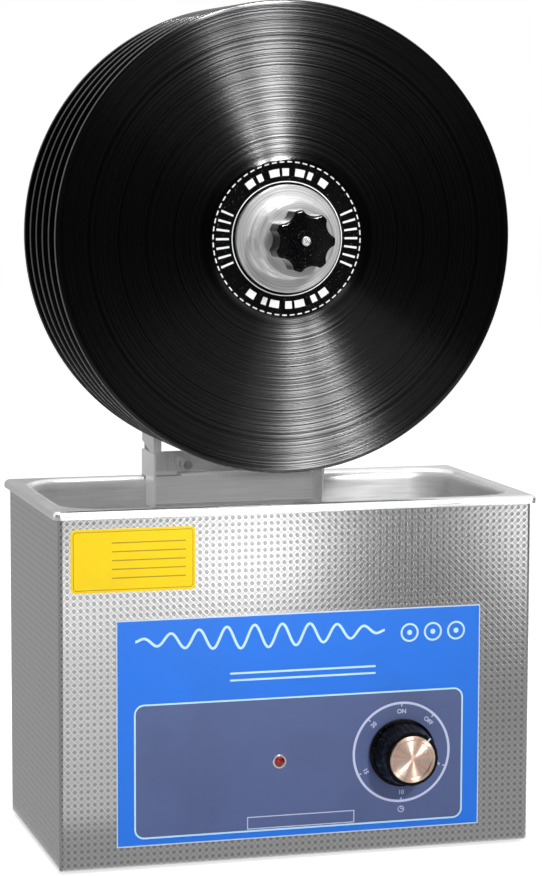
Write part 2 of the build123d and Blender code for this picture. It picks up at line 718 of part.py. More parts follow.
with BuildPart() as timer_knob_cap:
    turned(
        [
            (0, knob_front),
            (knob_cap_r, knob_front),
            (knob_cap_r, knob_front - knob_cap_t + 0.4),
            (knob_cap_r - 0.4, knob_front - knob_cap_t),
            (knob_cap_r - 2.2, knob_front - knob_cap_t),
            (knob_cap_r - 3, knob_front - knob_cap_t + 0.5),
            (0, knob_front - knob_cap_t + 0.5),
        ],
        dial_x,
        dial_z,
    )
save(timer_knob_cap.part, "timer_knob_cap")

with BuildPart() as timer_shaft:
    with BuildSketch(facing_front(front_y + sheet + timer_depth - 4)):
        with Locations((dial_x, dial_z)):
            Circle(timer_shaft_r)
    extrude(amount=front_y + sheet + timer_depth - 4 - (knob_back - shaft_in_knob))
save(timer_shaft.part, "timer_shaft")

# ---------------------------------------------------------------- records and spindle
def record_profile(middle):
    """Half section of a record whose middle plane is at y = middle."""
    web, bead, hub = record_web / 2, record_bead / 2, record_hub_t / 2
    return [
        (record_hole_r, middle - hub),
        (label_area_r, middle - hub),
        (label_area_r + 2, middle - web),
        (record_r - bead_w - 1, middle - web),
        (record_r - bead_w, middle - bead),
        (record_r - 0.6, middle - bead),
        (record_r, middle - bead + 0.6),
        (record_r, middle + bead - 0.6),
        (record_r - 0.6, middle + bead),
        (record_r - bead_w, middle + bead),
        (record_r - bead_w - 1, middle + web),
        (label_area_r + 2, middle + web),
        (label_area_r, middle + hub),
        (record_hole_r, middle + hub),
    ]


record_middles = [first_record_y + number * record_pitch for number in range(record_count)]
for number, middle in enumerate(record_middles, start=1):
    with BuildPart() as record:
        turned(record_profile(middle), rack_x, spindle_z)
    save(record.part, f"record_{number}")

label_r, paper_t = 50.0, 0.15
with BuildPart() as record_labels:
    for middle in record_middles:
        for side in (-1, 1):
            inner = middle + side * record_hub_t / 2
            turned(
                [
                    (clamp_r + 0.2, inner),
                    (label_r, inner),
                    (label_r, inner + side * paper_t),
                    (clamp_r + 0.2, inner + side * paper_t),
                ],
                rack_x,
                spindle_z,
            )
save(record_labels.part, "record_labels")

with BuildPart() as record_spacers:
    for middle in record_middles[:-1]:
        front = middle + record_hub_t / 2
        back = middle + record_pitch - record_hub_t / 2
        turned(
            [
                (spindle_r, front),
                (clamp_r, front),
                (clamp_r, front + spacer_flange_t),
                (spacer_core_r, front + spacer_flange_t + 1),
                (spacer_core_r, back - spacer_flange_t - 1),
                (clamp_r, back - spacer_flange_t),
                (clamp_r, back),
                (spindle_r, back),
            ],
            rack_x,
            spindle_z,
        )
save(record_spacers.part, "record_spacers")

with BuildPart() as drive_hub:
    turned(
        [
            (spindle_r, hub_front),
            (clamp_r - 0.6, hub_front),
            (clamp_r, hub_front + 0.6),
            (clamp_r, hub_front + hub_flange_t),
            (hub_r, hub_front + hub_flange_t),
            (hub_r, hub_back),
            (spindle_r, hub_back),
        ],
        rack_x,
        spindle_z,
    )
save(drive_hub.part, "drive_hub")

spindle_end = web_back + sleeve_behind_web - sleeve_cap_t
with BuildPart() as spindle:
    turned(
        [
            (0, stud_tip),
            (stud_r - 0.6, stud_tip),
            (stud_r, stud_tip + 0.6),
            (stud_r, boss_face + stud_start),
            (spindle_r, boss_face + stud_start),
            (spindle_r, spindle_end),
            (0, spindle_end),
        ],
        rack_x,
        spindle_z,
    )
save(spindle.part, "spindle")

with BuildPart() as output_sleeve:
    turned(
        [
            (spindle_r, hub_back),
            (sleeve_r, hub_back),
            (sleeve_r, web_back + sleeve_behind_web),
            (0, web_back + sleeve_behind_web),
            (0, spindle_end),
            (spindle_r, spindle_end),
        ],
        rack_x,
        spindle_z,
    )
save(output_sleeve.part, "output_sleeve")

with BuildPart() as clamp_cap:
    turned(
        [
            (spindle_r + run_gap, clamp_back),
            (clamp_r, clamp_back),
            (clamp_r, clamp_face + 0.8),
            (clamp_r - 0.8, clamp_face),
            (clamp_boss_r + 1.5, clamp_face),
            (clamp_boss_r, clamp_face - 1.5),
            (clamp_boss_r, boss_face + 1.5),
            (clamp_boss_r - 1.5, boss_face),
            (spindle_r + run_gap, boss_face),
        ],
        rack_x,
        spindle_z,
    )
save(clamp_cap.part, "clamp_cap")

with BuildPart() as star_knob:
    with BuildSketch(facing_front(star_back)) as star_outline:
        with Locations((rack_x, spindle_z)):
            Circle(star_r)
            with PolarLocations(star_valley_r + star_scallop_r, star_lobes, start_angle=180 / star_lobes - 1):
                Circle(star_scallop_r, mode=Mode.SUBTRACT)
        fillet(star_outline.vertices(), radius=star_tip_r)
    extrude(amount=star_t)
    fillet(star_knob.faces().sort_by(Axis.Y)[0].edges(), radius=1.6)
    with BuildSketch(facing_front(star_back)):
        with Locations((rack_x, spindle_z)):
            Circle(insert_r)
    extrude(amount=star_t, mode=Mode.SUBTRACT)
save(star_knob.part, "star_knob")

with BuildPart() as knob_insert:
    turned(
        [
            (stud_r + run_gap, star_back),
            (insert_r, star_back),
            (insert_r, star_face - insert_proud + 0.4),
            (insert_r - 0.4, star_face - insert_proud),
            (stud_r + 1.2, star_face - insert_proud),
            (stud_r + run_gap, star_face - insert_proud + 1),
        ],
        rack_x,
        spindle_z,
    )
save(knob_insert.part, "knob_insert")

# ---------------------------------------------------------------- rack saddle
with BuildPart() as saddle_bracket:
    # Two cheeks that stand on the rim and drop inside the tank
    for cheek_x in (rack_x - post_half, rack_x + post_half - rack_sheet):
        with BuildSketch(across(cheek_x)):
            with BuildLine():
                Polyline(
                    (cheek_front, apron_bottom),
                    (apron_back, apron_bottom),
                    (apron_back, rim_top + rim_clear),
                    (rear_y - 3, rim_top + rim_clear),
                    (rear_y, saddle_top),
                    (cheek_front, saddle_top),
                    close=True,
                )
            make_face()
        extrude(amount=rack_sheet)
    # Apron against the tank's rear wall
    with BuildSketch(facing_front(apron_back)):
        with Locations((rack_x, (apron_bottom + rim_top) / 2)):
            Rectangle(saddle_w, rim_top - apron_bottom)
    extrude(amount=rack_sheet)
    # Riser between the cheeks
    with BuildSketch(facing_front(rear_y)):
        with Locations((rack_x, (rim_top + riser_top) / 2)):
            Rectangle(saddle_w, riser_h)
    extrude(amount=rack_sheet)
    # Tab that lies on the rim and hooks down behind the casing
    with BuildSketch(across(rack_x - tab_w / 2)):
        with BuildLine():
            Polyline(
                (apron_back - rack_sheet, rim_top - rim_lip_h),
                (apron_back, rim_top - rim_lip_h),
                (apron_back, rim_top),
                (skirt_front, rim_top),
                (skirt_front, rim_top + rack_sheet - skirt_h),
                (skirt_back, rim_top + rack_sheet - skirt_h),
                (skirt_back, rim_top + rack_sheet),
                (apron_back - rack_sheet, rim_top + rack_sheet),
                close=True,
            )
        make_face()
    extrude(amount=tab_w)
    # Bosses for the two thumb screws
    with BuildSketch(facing_front(skirt_back)):
        with Locations((rack_x, thumb_z)):
            with GridLocations(thumb_pitch, 0, 2, 1):
                Circle(thumb_boss_r)
    extrude(amount=skirt_back - thumb_boss_front)
    with BuildSketch(facing_front(skirt_back)):
        with Locations((rack_x, thumb_z)):
            with GridLocations(thumb_pitch, 0, 2, 1):
                Circle(thumb_r + run_gap)
    extrude(amount=skirt_back - thumb_boss_front, mode=Mode.SUBTRACT)
    # Screw holes through the riser
    with BuildSketch(facing_front(rear_y)):
        with Locations((rack_x, tab_screw_z)):
            with GridLocations(2 * tab_screw_x, 0, 2, 1):
                Circle(screw_r)
        with Locations((rack_x, dark_screw_z)):
            with GridLocations(2 * dark_screw_x, 0, 2, 1):
                Circle(small_screw_r)
    extrude(amount=rack_sheet, mode=Mode.SUBTRACT)
save(saddle_bracket.part, "saddle_bracket")

# ---------------------------------------------------------------- mast posts and bridge
slot_low = spindle_z - lift_travel - lock_r - 2
slot_high = spindle_z + lock_r + 2


def mast_post(side):
    """One channel of the mast: side -1 is the left one, +1 the right one."""
    outer = rack_x + side * post_half
    inner = outer - side * rack_sheet
    with BuildPart() as post:
        # Side plate, cut on a slope at its foot
        with BuildSketch(across(min(outer, inner))):
            with BuildLine():
                Polyline(
                    (cheek_front, post_bottom),
                    (post_back - post_cut, post_bottom),
                    (post_back, post_bottom + post_corner_r),
                    (post_back, post_top),
                    (cheek_front, post_top),
                    close=True,
                )
            make_face()
        extrude(amount=rack_sheet)
        # Front and rear lips
        with BuildSketch(facing_front(cheek_front + rack_sheet)):
            with Locations((outer - side * lip_front / 2, (post_bottom + post_top) / 2)):
                Rectangle(lip_front, post_top - post_bottom)
        extrude(amount=rack_sheet)
        with BuildSketch(facing_front(post_back)):
            with Locations((outer - side * lip_rear / 2, (post_bottom + post_corner_r + post_top) / 2)):
                Rectangle(lip_rear, post_top - post_bottom - post_corner_r)
        extrude(amount=rack_sheet)
        # Foot tab, in front of the riser
        tab_x = outer - side * (rack_sheet + foot_tab_w / 2)
        with BuildSketch(facing_front(post_back)):
            with Locations((tab_x, (foot_tab_bottom + riser_top) / 2)):
                Rectangle(foot_tab_w, riser_top - foot_tab_bottom)
            with Locations((outer - side * (rack_sheet + neck_w / 2), (riser_top + neck_top) / 2)):
                Rectangle(neck_w, neck_top - riser_top)
            with Locations((rack_x + side * tab_screw_x, tab_screw_z)):
                Circle(screw_r, mode=Mode.SUBTRACT)
            with Locations((rack_x + side * dark_screw_x, dark_screw_z)):
                Circle(small_screw_r, mode=Mode.SUBTRACT)
        extrude(amount=rack_sheet)
        # Top tab, under the bridge
        with BuildSketch(Plane.XY.offset(post_top)):
            with Locations((outer - side * top_tab_w / 2, (cheek_front + post_back) / 2)):
                Rectangle(top_tab_w, post_back - cheek_front)
            with Locations((rack_x + side * bridge_screw_x, (cheek_front + post_back) / 2)):
                with GridLocations(0, bridge_screw_span, 1, 2):
                    Circle(screw_r, mode=Mode.SUBTRACT)
        extrude(amount=-rack_sheet)
        # Slot for the lift lock's stud, in the right-hand post
        if side > 0:
            with BuildSketch(across(inner)):
                with Locations((lock_y, (slot_low + slot_high) / 2)):
                    SlotOverall(slot_high - slot_low, 2 * (lock_r + body_gap), rotation=90)
            extrude(amount=rack_sheet, mode=Mode.SUBTRACT)
    return post.part


save(mast_post(-1), "mast_post_left")
save(mast_post(1), "mast_post_right")

with BuildPart() as mast_bridge:
    with BuildSketch(Plane.XY.offset(post_top)):
        with Locations((rack_x, (cheek_front + post_back) / 2)):
            RectangleRounded(saddle_w, post_back - cheek_front, bridge_corner_r)
            with GridLocations(2 * bridge_screw_x, bridge_screw_span, 2, 2):
                Circle(screw_r, mode=Mode.SUBTRACT)
    extrude(amount=bridge_t)
save(mast_bridge.part, "mast_bridge")

with BuildPart() as bridge_screws:
    with BuildSketch(Plane.XY.offset(post_top + bridge_t)):
        with Locations((rack_x, (cheek_front + post_back) / 2)):
            with GridLocations(2 * bridge_screw_x, bridge_screw_span, 2, 2):
                Circle(screw_head_r)
    extrude(amount=screw_head_h)
    with BuildSketch(Plane.XY.offset(post_top - rack_sheet - screw_bite)):
        with Locations((rack_x, (cheek_front + post_back) / 2)):
            with GridLocations(2 * bridge_screw_x, bridge_screw_span, 2, 2):
                Circle(screw_r)
    extrude(amount=bridge_t + rack_sheet + screw_bite)
save(bridge_screws.part, "bridge_screws")

tab_front = post_back - rack_sheet
with BuildPart() as mast_foot_screws:
    with BuildSketch(facing_front(tab_front)):
        with Locations((rack_x, tab_screw_z)):
            with GridLocations(2 * tab_screw_x, 0, 2, 1):
                Circle(screw_head_r)
    extrude(amount=screw_head_h)
    with BuildSketch(facing_front(rear_y + screw_bite)):
        with Locations((rack_x, tab_screw_z)):
            with GridLocations(2 * tab_screw_x, 0, 2, 1):
                Circle(screw_r)
    extrude(amount=rear_y + screw_bite - tab_front)
save(mast_foot_screws.part, "mast_foot_screws")

with BuildPart() as mast_locating_screws:
    with BuildSketch(facing_front(tab_front)):
        with Locations((rack_x, dark_screw_z)):
            with GridLocations(2 * dark_screw_x, 0, 2, 1):
                Circle(small_head_r)
    extrude(amount=small_head_h)
    with BuildSketch(facing_front(rear_y + screw_bite)):
        with Locations((rack_x, dark_screw_z)):
            with GridLocations(2 * dark_screw_x, 0, 2, 1):
                Circle(small_screw_r)
    extrude(amount=rear_y + screw_bite - tab_front)
save(mast_locating_screws.part, "mast_locating_screws")

# ---------------------------------------------------------------- lift carriage
shoe_low = spindle_z - carriage_half_h
shoe_high = spindle_z + carriage_half_h
flange_outer = shoe_inner
flange_front = web_front
motor_back = web_back + motor_depth
socket_x = rack_x + jack_x
socket_jack_z = spindle_z - jack_down
cover_back = web_back + cover_depth

with BuildPart() as carriage_plate:
    with BuildSketch(facing_front(web_back)):
        with Locations((rack_x, spindle_z)):
            Rectangle(2 * flange_outer, 2 * carriage_half_h)
            Circle(motor_boss_r, mode=Mode.SUBTRACT)
            with PolarLocations(motor_screw_at, 4, start_angle=45):
                Circle(small_screw_r, mode=Mode.SUBTRACT)
    extrude(amount=carriage_t)
    for side in (-1, 1):
        flange_x = rack_x + side * (flange_outer - carriage_t / 2)
        with BuildSketch(across(flange_x - carriage_t / 2)):
            with Locations(((web_back + shoe_back) / 2, spindle_z)):
                Rectangle(shoe_back - web_back, 2 * carriage_half_h)
            with Locations((lock_y, spindle_z)):
                with GridLocations(0, 2 * shoe_screw_up, 1, 2):
                    Circle(small_screw_r, mode=Mode.SUBTRACT)
        extrude(amount=carriage_t)
save(carriage_plate.part, "carriage_plate")

with BuildPart() as slide_shoes:
    for side in (-1, 1):
        with BuildSketch(across(rack_x + side * (shoe_inner + shoe_t / 2) - shoe_t / 2)):
            with Locations(((shoe_front + shoe_back) / 2, spindle_z)):
                RectangleRounded(shoe_back - shoe_front, 2 * carriage_half_h, 2)
            with Locations((lock_y, spindle_z)):
                with GridLocations(0, 2 * shoe_screw_up, 1, 2):
                    Circle(small_screw_r, mode=Mode.SUBTRACT)
        extrude(amount=shoe_t)
    with BuildSketch(across(rack_x + shoe_outer - lock_grip)):
        with Locations((lock_y, spindle_z)):
            Circle(lock_r + run_gap)
    extrude(amount=lock_grip, mode=Mode.SUBTRACT)
save(slide_shoes.part, "slide_shoes")

with BuildPart() as carriage_screws:
    with BuildSketch(facing_front(web_front)):
        with Locations((rack_x, spindle_z)):
            with PolarLocations(motor_screw_at, 4, start_angle=45):
                Circle(small_head_r)
    extrude(amount=small_head_h)
    with BuildSketch(facing_front(web_back + motor_plate_t + 3)):
        with Locations((rack_x, spindle_z)):
            with PolarLocations(motor_screw_at, 4, start_angle=45):
                Circle(small_screw_r)
    extrude(amount=carriage_t + motor_plate_t + 3)
    for side in (-1, 1):
        head_x = rack_x + side * (flange_outer - carriage_t)
        with BuildSketch(across(head_x)):
            with Locations((lock_y, spindle_z)):
                with GridLocations(0, 2 * shoe_screw_up, 1, 2):
                    Circle(small_head_r)
        extrude(amount=-side * small_head_h)
        with BuildSketch(across(head_x)):
            with Locations((lock_y, spindle_z)):
                with GridLocations(0, 2 * shoe_screw_up, 1, 2):
                    Circle(small_screw_r)
        extrude(amount=side * (carriage_t + shoe_t - 1))
save(carriage_screws.part, "carriage_screws")

with BuildPart() as motor_can:
    with BuildSketch(facing_front(motor_back)):
        with Locations((rack_x, spindle_z)):
            Circle(motor_r)
    extrude(amount=motor_back - web_back - motor_plate_t)
    with BuildSketch(facing_front(web_back + motor_plate_t)):
        with Locations((rack_x, spindle_z)):
            RectangleRounded(motor_plate, motor_plate, motor_plate_corner_r)
    extrude(amount=motor_plate_t)
    with BuildSketch(facing_front(web_back)):
        with Locations((rack_x, spindle_z)):
            Circle(motor_boss_r)
    extrude(amount=motor_boss_h)
    with BuildSketch(facing_front(web_back - motor_boss_h)):
        with Locations((rack_x, spindle_z)):
            Circle(sleeve_r + run_gap)
    extrude(amount=-(motor_boss_h + sleeve_behind_web + body_gap), mode=Mode.SUBTRACT)
    with BuildSketch(facing_front(web_back)):
        with Locations((rack_x, spindle_z)):
            with PolarLocations(motor_screw_at, 4, start_angle=45):
                Circle(small_screw_r)
    extrude(amount=-(motor_plate_t + 3), mode=Mode.SUBTRACT)
save(motor_can.part, "motor_can")

with BuildPart() as motor_cover:
    with BuildSketch(facing_front(cover_back)):
        with Locations((rack_x, spindle_z)):
            RectangleRounded(cover_w, cover_h, cover_r)
    extrude(amount=cover_depth)
    fillet(motor_cover.faces().sort_by(Axis.Y)[-1].edges(), radius=2)
    with BuildSketch(facing_front(cover_back - cover_t)):
        with Locations((rack_x, spindle_z)):
            RectangleRounded(cover_w - 2 * cover_t, cover_h - 2 * cover_t, cover_r - cover_t)
    extrude(amount=cover_depth - cover_t, mode=Mode.SUBTRACT)
    with BuildSketch(facing_front(cover_back)):
        with Locations((socket_x, socket_jack_z)):
            Circle(jack_r)
    extrude(amount=cover_t, mode=Mode.SUBTRACT)
save(motor_cover.part, "motor_cover")

with BuildPart() as motor_socket:
    with BuildSketch(facing_front(cover_back + 2)):
        with Locations((socket_x, socket_jack_z)):
            Circle(jack_flange_r)
    extrude(amount=2)
    with BuildSketch(facing_front(cover_back)):
        with Locations((socket_x, socket_jack_z)):
            Circle(jack_r)
    extrude(amount=jack_len)
    with BuildSketch(facing_front(cover_back + 2)):
        with Locations((socket_x, socket_jack_z)):
            Circle(jack_bore_r)
    extrude(amount=jack_len, mode=Mode.SUBTRACT)
    with BuildSketch(facing_front(cover_back)):
        with Locations((socket_x, socket_jack_z)):
            Circle(0.8)
    extrude(amount=jack_len)
save(motor_socket.part, "motor_socket")

# ---------------------------------------------------------------- lift lock
with BuildPart() as lift_lock_washer:
    with BuildSketch(across(washer_x)):
        with Locations((lock_y, spindle_z)):
            Circle(lock_washer_r)
            Circle(lock_r + run_gap, mode=Mode.SUBTRACT)
    extrude(amount=lock_washer_t)
save(lift_lock_washer.part, "lift_lock_washer")

with BuildPart() as lift_lock_knob:
    with BuildSketch(across(lock_x)):
        with Locations((lock_y, spindle_z)):
            Circle(lock_knob_r - lock_lobe_r * 0.6)
            with PolarLocations(lock_knob_r - lock_lobe_r, lock_lobes, start_angle=90):
                Circle(lock_lobe_r)
    extrude(amount=lock_knob_t)
    fillet(lift_lock_knob.faces().sort_by(Axis.X)[-1].edges(), radius=1.5)
    with BuildSketch(across(rack_x + shoe_outer - lock_grip + body_gap)):
        with Locations((lock_y, spindle_z)):
            Circle(lock_r)
    extrude(amount=lock_x - (rack_x + shoe_outer - lock_grip + body_gap))
save(lift_lock_knob.part, "lift_lock_knob")

# ---------------------------------------------------------------- thumb screws that clamp the saddle
thumb_tip = pad_back - pad_seat
thumb_head_front = skirt_back + thumb_head_gap
thumb_head_back = thumb_head_front + thumb_head_t
for side, side_name in ((-1, "left"), (1, "right")):
    thumb_x = rack_x + side * thumb_pitch / 2
    with BuildPart() as clamp_foot:
        with BuildSketch(facing_front(pad_back)):
            with Locations((thumb_x, thumb_z)):
                Circle(pad_r)
        extrude(amount=pad_t)
        with BuildSketch(facing_front(pad_back)):
            with Locations((thumb_x, thumb_z)):
                Circle(thumb_r + run_gap)
        extrude(amount=pad_seat + run_gap, mode=Mode.SUBTRACT)
    save(clamp_foot.part, f"clamp_foot_{side_name}")

    with BuildPart() as thumb_screw:
        with BuildSketch(facing_front(thumb_head_back)):
            with Locations((thumb_x, thumb_z)):
                Circle(thumb_head_r)
                with PolarLocations(thumb_head_r, 12):
                    Circle(1.2, mode=Mode.SUBTRACT)
        extrude(amount=thumb_head_t)
        with BuildSketch(facing_front(thumb_head_front)):
            with Locations((thumb_x, thumb_z)):
                Circle(thumb_r)
        extrude(amount=thumb_head_front - thumb_tip)
    save(thumb_screw.part, f"thumb_screw_{side_name}")
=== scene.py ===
"""Looks of the record cleaning machine: finishes, prints, grooved records and small hardware.

Metres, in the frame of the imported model: the floor is z = 0, +Z is up, and the dial faces -Y.
"""

from math import cos, pi, radians, sin

import bmesh
import bpy
from mathutils import Matrix, Vector


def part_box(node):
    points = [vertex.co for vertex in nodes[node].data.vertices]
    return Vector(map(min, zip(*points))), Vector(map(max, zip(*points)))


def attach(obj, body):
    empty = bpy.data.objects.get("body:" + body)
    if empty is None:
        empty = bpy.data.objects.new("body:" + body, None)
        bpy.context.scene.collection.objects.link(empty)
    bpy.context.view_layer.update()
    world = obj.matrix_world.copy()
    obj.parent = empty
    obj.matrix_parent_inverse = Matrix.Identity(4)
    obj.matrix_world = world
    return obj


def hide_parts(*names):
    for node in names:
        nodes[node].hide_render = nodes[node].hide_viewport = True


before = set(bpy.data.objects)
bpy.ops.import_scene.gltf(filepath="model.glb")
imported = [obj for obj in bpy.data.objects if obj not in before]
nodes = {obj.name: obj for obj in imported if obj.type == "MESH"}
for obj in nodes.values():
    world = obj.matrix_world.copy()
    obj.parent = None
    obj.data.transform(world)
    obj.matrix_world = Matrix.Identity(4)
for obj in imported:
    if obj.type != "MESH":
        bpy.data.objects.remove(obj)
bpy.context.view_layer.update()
MM = 0.001

# ---------------------------------------------------------------- places read from the model
overlay_low, overlay_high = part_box("front_overlay")
label_low, label_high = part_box("notice_label")
tank_low, tank_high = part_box("tank")
record_low, record_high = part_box("record_1")
knob_low, knob_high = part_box("timer_knob")
saddle_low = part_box("saddle_bracket")[0]


def front_of(low, high):
    """Centre and size of a box, seen from the front, as (x, z)."""
    return ((low.x + high.x) / 2, (low.z + high.z) / 2), (high.x - low.x, high.z - low.z)


spindle_centre, record_size = front_of(record_low, record_high)
spindle_x, spindle_z = spindle_centre
disc_radius = record_size[0] / 2
dial_centre, _ = front_of(knob_low, knob_high)
dial_x, dial_z = dial_centre
panel_face = overlay_low.y
sticker_face = label_low.y


# ---------------------------------------------------------------- node helpers
def wire(tree, source, target):
    """Links a node's output to another node's input, or sets a plain value."""
    if isinstance(source, bpy.types.NodeSocket):
        tree.links.new(source, target)
    else:
        target.default_value = source


def math_node(tree, operation, first, second=None, clamp=False):
    """One Math node; its inputs are sockets or numbers."""
    node = tree.nodes.new("ShaderNodeMath")
    node.operation = operation
    node.use_clamp = clamp
    wire(tree, first, node.inputs[0])
    if second is not None:
        wire(tree, second, node.inputs[1])
    return node.outputs[0]


def times(tree, first, second):
    """Product of two sockets or numbers."""
    return math_node(tree, "MULTIPLY", first, second)


def plus(tree, first, second):
    """Sum of two sockets or numbers."""
    return math_node(tree, "ADD", first, second)


def larger(tree, first, second):
    """The larger of two sockets or numbers."""
    return math_node(tree, "MAXIMUM", first, second)


def size_of(tree, value):
    """The value without its sign."""
    return math_node(tree, "ABSOLUTE", value)


def parts_of(tree, vector):
    """The X, Y and Z outputs of a vector."""
    node = tree.nodes.new("ShaderNodeSeparateXYZ")
    tree.links.new(vector, node.inputs[0])
    return node.outputs


def off_axis(tree, parts):
    """Distance from the Y axis, from the parts of a vector."""
    squares = [times(tree, parts[axis], parts[axis]) for axis in "XZ"]
    return math_node(tree, "SQRT", plus(tree, *squares))


def band(tree, value, start, stop):
    """Smooth step from 0 to 1 as a value goes from the first limit to the second."""
    node = tree.nodes.new("ShaderNodeMapRange")
    node.interpolation_type = "SMOOTHSTEP"
    node.inputs["From Min"].default_value = start
    node.inputs["From Max"].default_value = stop
    wire(tree, value, node.inputs["Value"])
    return node.outputs["Result"]


def noise(tree, vector, scale, detail=2.0):
    """Factor of a noise texture; the scale is a socket or a number."""
    node = tree.nodes.new("ShaderNodeTexNoise")
    node.inputs["Detail"].default_value = detail
    wire(tree, scale, node.inputs["Scale"])
    wire(tree, vector, node.inputs["Vector"])
    return node.outputs["Fac"]


def line_noise(tree, value, scale, detail):
    """Factor of a noise along one value."""
    node = tree.nodes.new("ShaderNodeTexNoise")
    node.noise_dimensions = "1D"
    node.inputs["Scale"].default_value = scale
    node.inputs["Detail"].default_value = detail
    wire(tree, value, node.inputs["W"])
    return node.outputs["Fac"]


def stretched(tree, vector, stretch):
    """The vector, scaled along each axis."""
    node = tree.nodes.new("ShaderNodeVectorMath")
    node.operation = "MULTIPLY"
    wire(tree, vector, node.inputs[0])
    wire(tree, stretch, node.inputs[1])
    return node.outputs[0]


def mixed(tree, factor, first, second, amount=None):
    """Colour mix; the two colours are sockets or tuples, and an amount scales the factor."""
    if amount is not None:
        factor = times(tree, factor, amount)
    node = tree.nodes.new("ShaderNodeMix")
    node.data_type = "RGBA"
    wire(tree, factor, node.inputs[0])
    for colour, socket in ((first, node.inputs[6]), (second, node.inputs[7])):
        wire(tree, colour if isinstance(colour, bpy.types.NodeSocket) else (*colour, 1.0), socket)
    return node.outputs[2]


def grey(level):
    """A neutral colour."""
    return (level, level, level)


def new_group(name, inputs, outputs):
    """An empty shader node group with named sockets, and its two end nodes."""
    group = bpy.data.node_groups.new(name, "ShaderNodeTree")
    for label, kind, value in inputs:
        socket = group.interface.new_socket(label, in_out="INPUT", socket_type=kind)
        if value is not None:
            socket.default_value = value
    for label, kind in outputs:
        group.interface.new_socket(label, in_out="OUTPUT", socket_type=kind)
    return group, group.nodes.new("NodeGroupInput"), group.nodes.new("NodeGroupOutput")


FLOAT, VECTOR = "NodeSocketFloat", "NodeSocketVector"


def make_grain_group():
    """Fine directional grain: long along an axis where Stretch is small."""
    group, start, end = new_group(
        "sheet grain",
        [("Vector", VECTOR, None), ("Stretch", VECTOR, (1.0, 1.0, 1.0)), ("Scale", FLOAT, 400.0)],
        [("Shade", FLOAT), ("Height", FLOAT)],
    )
    run = stretched(group, start.outputs["Vector"], start.outputs["Stretch"])
    grain = noise(group, run, start.outputs["Scale"], 3.0)
    group.links.new(grain, end.inputs["Height"])
    group.links.new(band(group, grain, 0.3, 0.7), end.inputs["Shade"])
    return group


def make_handling_group():
    """Large soft blotches: finger marks, polish and dust."""
    group, start, end = new_group(
        "handling marks",
        [("Vector", VECTOR, None), ("Scale", FLOAT, 14.0)],
        [("Mask", FLOAT), ("Specks", FLOAT)],
    )
    blotches = noise(group, start.outputs["Vector"], start.outputs["Scale"], 4.0)
    group.links.new(band(group, blotches, 0.42, 0.68), end.inputs["Mask"])
    specks = noise(group, start.outputs["Vector"], 900.0, 1.0)
    group.links.new(band(group, specks, 0.68, 0.74), end.inputs["Specks"])
    return group


EMBOSS_PITCH = 4.3 * MM


def make_lattice_group():
    """Embossed sheet: a square lattice of round dimples with a raised diagonal web between them."""
    group, start, end = new_group(
        "embossed lattice",
        [("Vector", VECTOR, None), ("Normal", VECTOR, None), ("Pitch", FLOAT, EMBOSS_PITCH)],
        [("Dimple", FLOAT), ("Web", FLOAT), ("Height", FLOAT)],
    )
    place = parts_of(group, start.outputs["Vector"])
    facing = parts_of(group, start.outputs["Normal"])
    side = math_node(group, "GREATER_THAN", size_of(group, facing["X"]), 0.6)
    along = group.nodes.new("ShaderNodeMix")
    group.links.new(side, along.inputs["Factor"])
    group.links.new(place["X"], along.inputs[2])
    group.links.new(place["Y"], along.inputs[3])

    def cell(value):
        """Place in its cell of the lattice, from -0.5 to 0.5."""
        steps = math_node(group, "DIVIDE", value, start.outputs["Pitch"])
        return math_node(group, "SUBTRACT", math_node(group, "FRACT", steps), 0.5)

    u, v = cell(along.outputs[0]), cell(place["Z"])
    reach = math_node(group, "SQRT", plus(group, times(group, u, u), times(group, v, v)))
    dimple = band(group, reach, 0.36, 0.20)
    diamond = plus(group, size_of(group, u), size_of(group, v))
    off_web = size_of(group, math_node(group, "SUBTRACT", diamond, 0.52))
    web = band(group, off_web, 0.14, 0.02)
    group.links.new(dimple, end.inputs["Dimple"])
    group.links.new(web, end.inputs["Web"])
    height = math_node(group, "SUBTRACT", times(group, web, 0.35), dimple)
    group.links.new(height, end.inputs["Height"])
    return group


TRACK_GAPS = (0.0565, 0.0742, 0.0921, 0.1098, 0.1292, 0.1464)


def make_tracks_group():
    """Record grooves: rings that vary with the radius, and smooth gaps between tracks."""
    group, start, end = new_group(
        "record tracks",
        [("Vector", VECTOR, None), ("Groove pitch", FLOAT, 0.0006)],
        [("Loudness", FLOAT), ("Gap", FLOAT), ("Height", FLOAT)],
    )
    radius = off_axis(group, parts_of(group, start.outputs["Vector"]))
    group.links.new(line_noise(group, radius, 1100.0, 3.0), end.inputs["Loudness"])
    gap = 0.0
    for gap_radius in TRACK_GAPS:
        off = size_of(group, math_node(group, "SUBTRACT", radius, gap_radius))
        gap = math_node(group, "ADD", band(group, off, 0.8 * MM, 0.3 * MM), gap, clamp=True)
    dead_wax = band(group, radius, 57.5 * MM, 56.8 * MM)
    group.links.new(math_node(group, "ADD", gap, dead_wax, clamp=True), end.inputs["Gap"])
    turns = math_node(group, "DIVIDE", radius, start.outputs["Groove pitch"])
    group.links.new(math_node(group, "SINE", times(group, turns, 2 * pi)), end.inputs["Height"])
    return group


LENGTHWISE = (0.04, 1.0, 1.0)
UPRIGHT = (1.0, 1.0, 0.05)
EVEN = (1.0, 1.0, 1.0)
grain_group = make_grain_group()
handling_group = make_handling_group()
lattice_group = make_lattice_group()
tracks_group = make_tracks_group()


# ---------------------------------------------------------------- materials
DUST = (0.5, 0.49, 0.47)


def blank_material(name):
    """A new material, its tree, its Principled shader and its Object coordinates."""
    material = bpy.data.materials.new(name)
    material.use_nodes = True
    tree = material.node_tree
    position = tree.nodes.new("ShaderNodeTexCoord").outputs["Object"]
    return material, tree, tree.nodes["Principled BSDF"], position


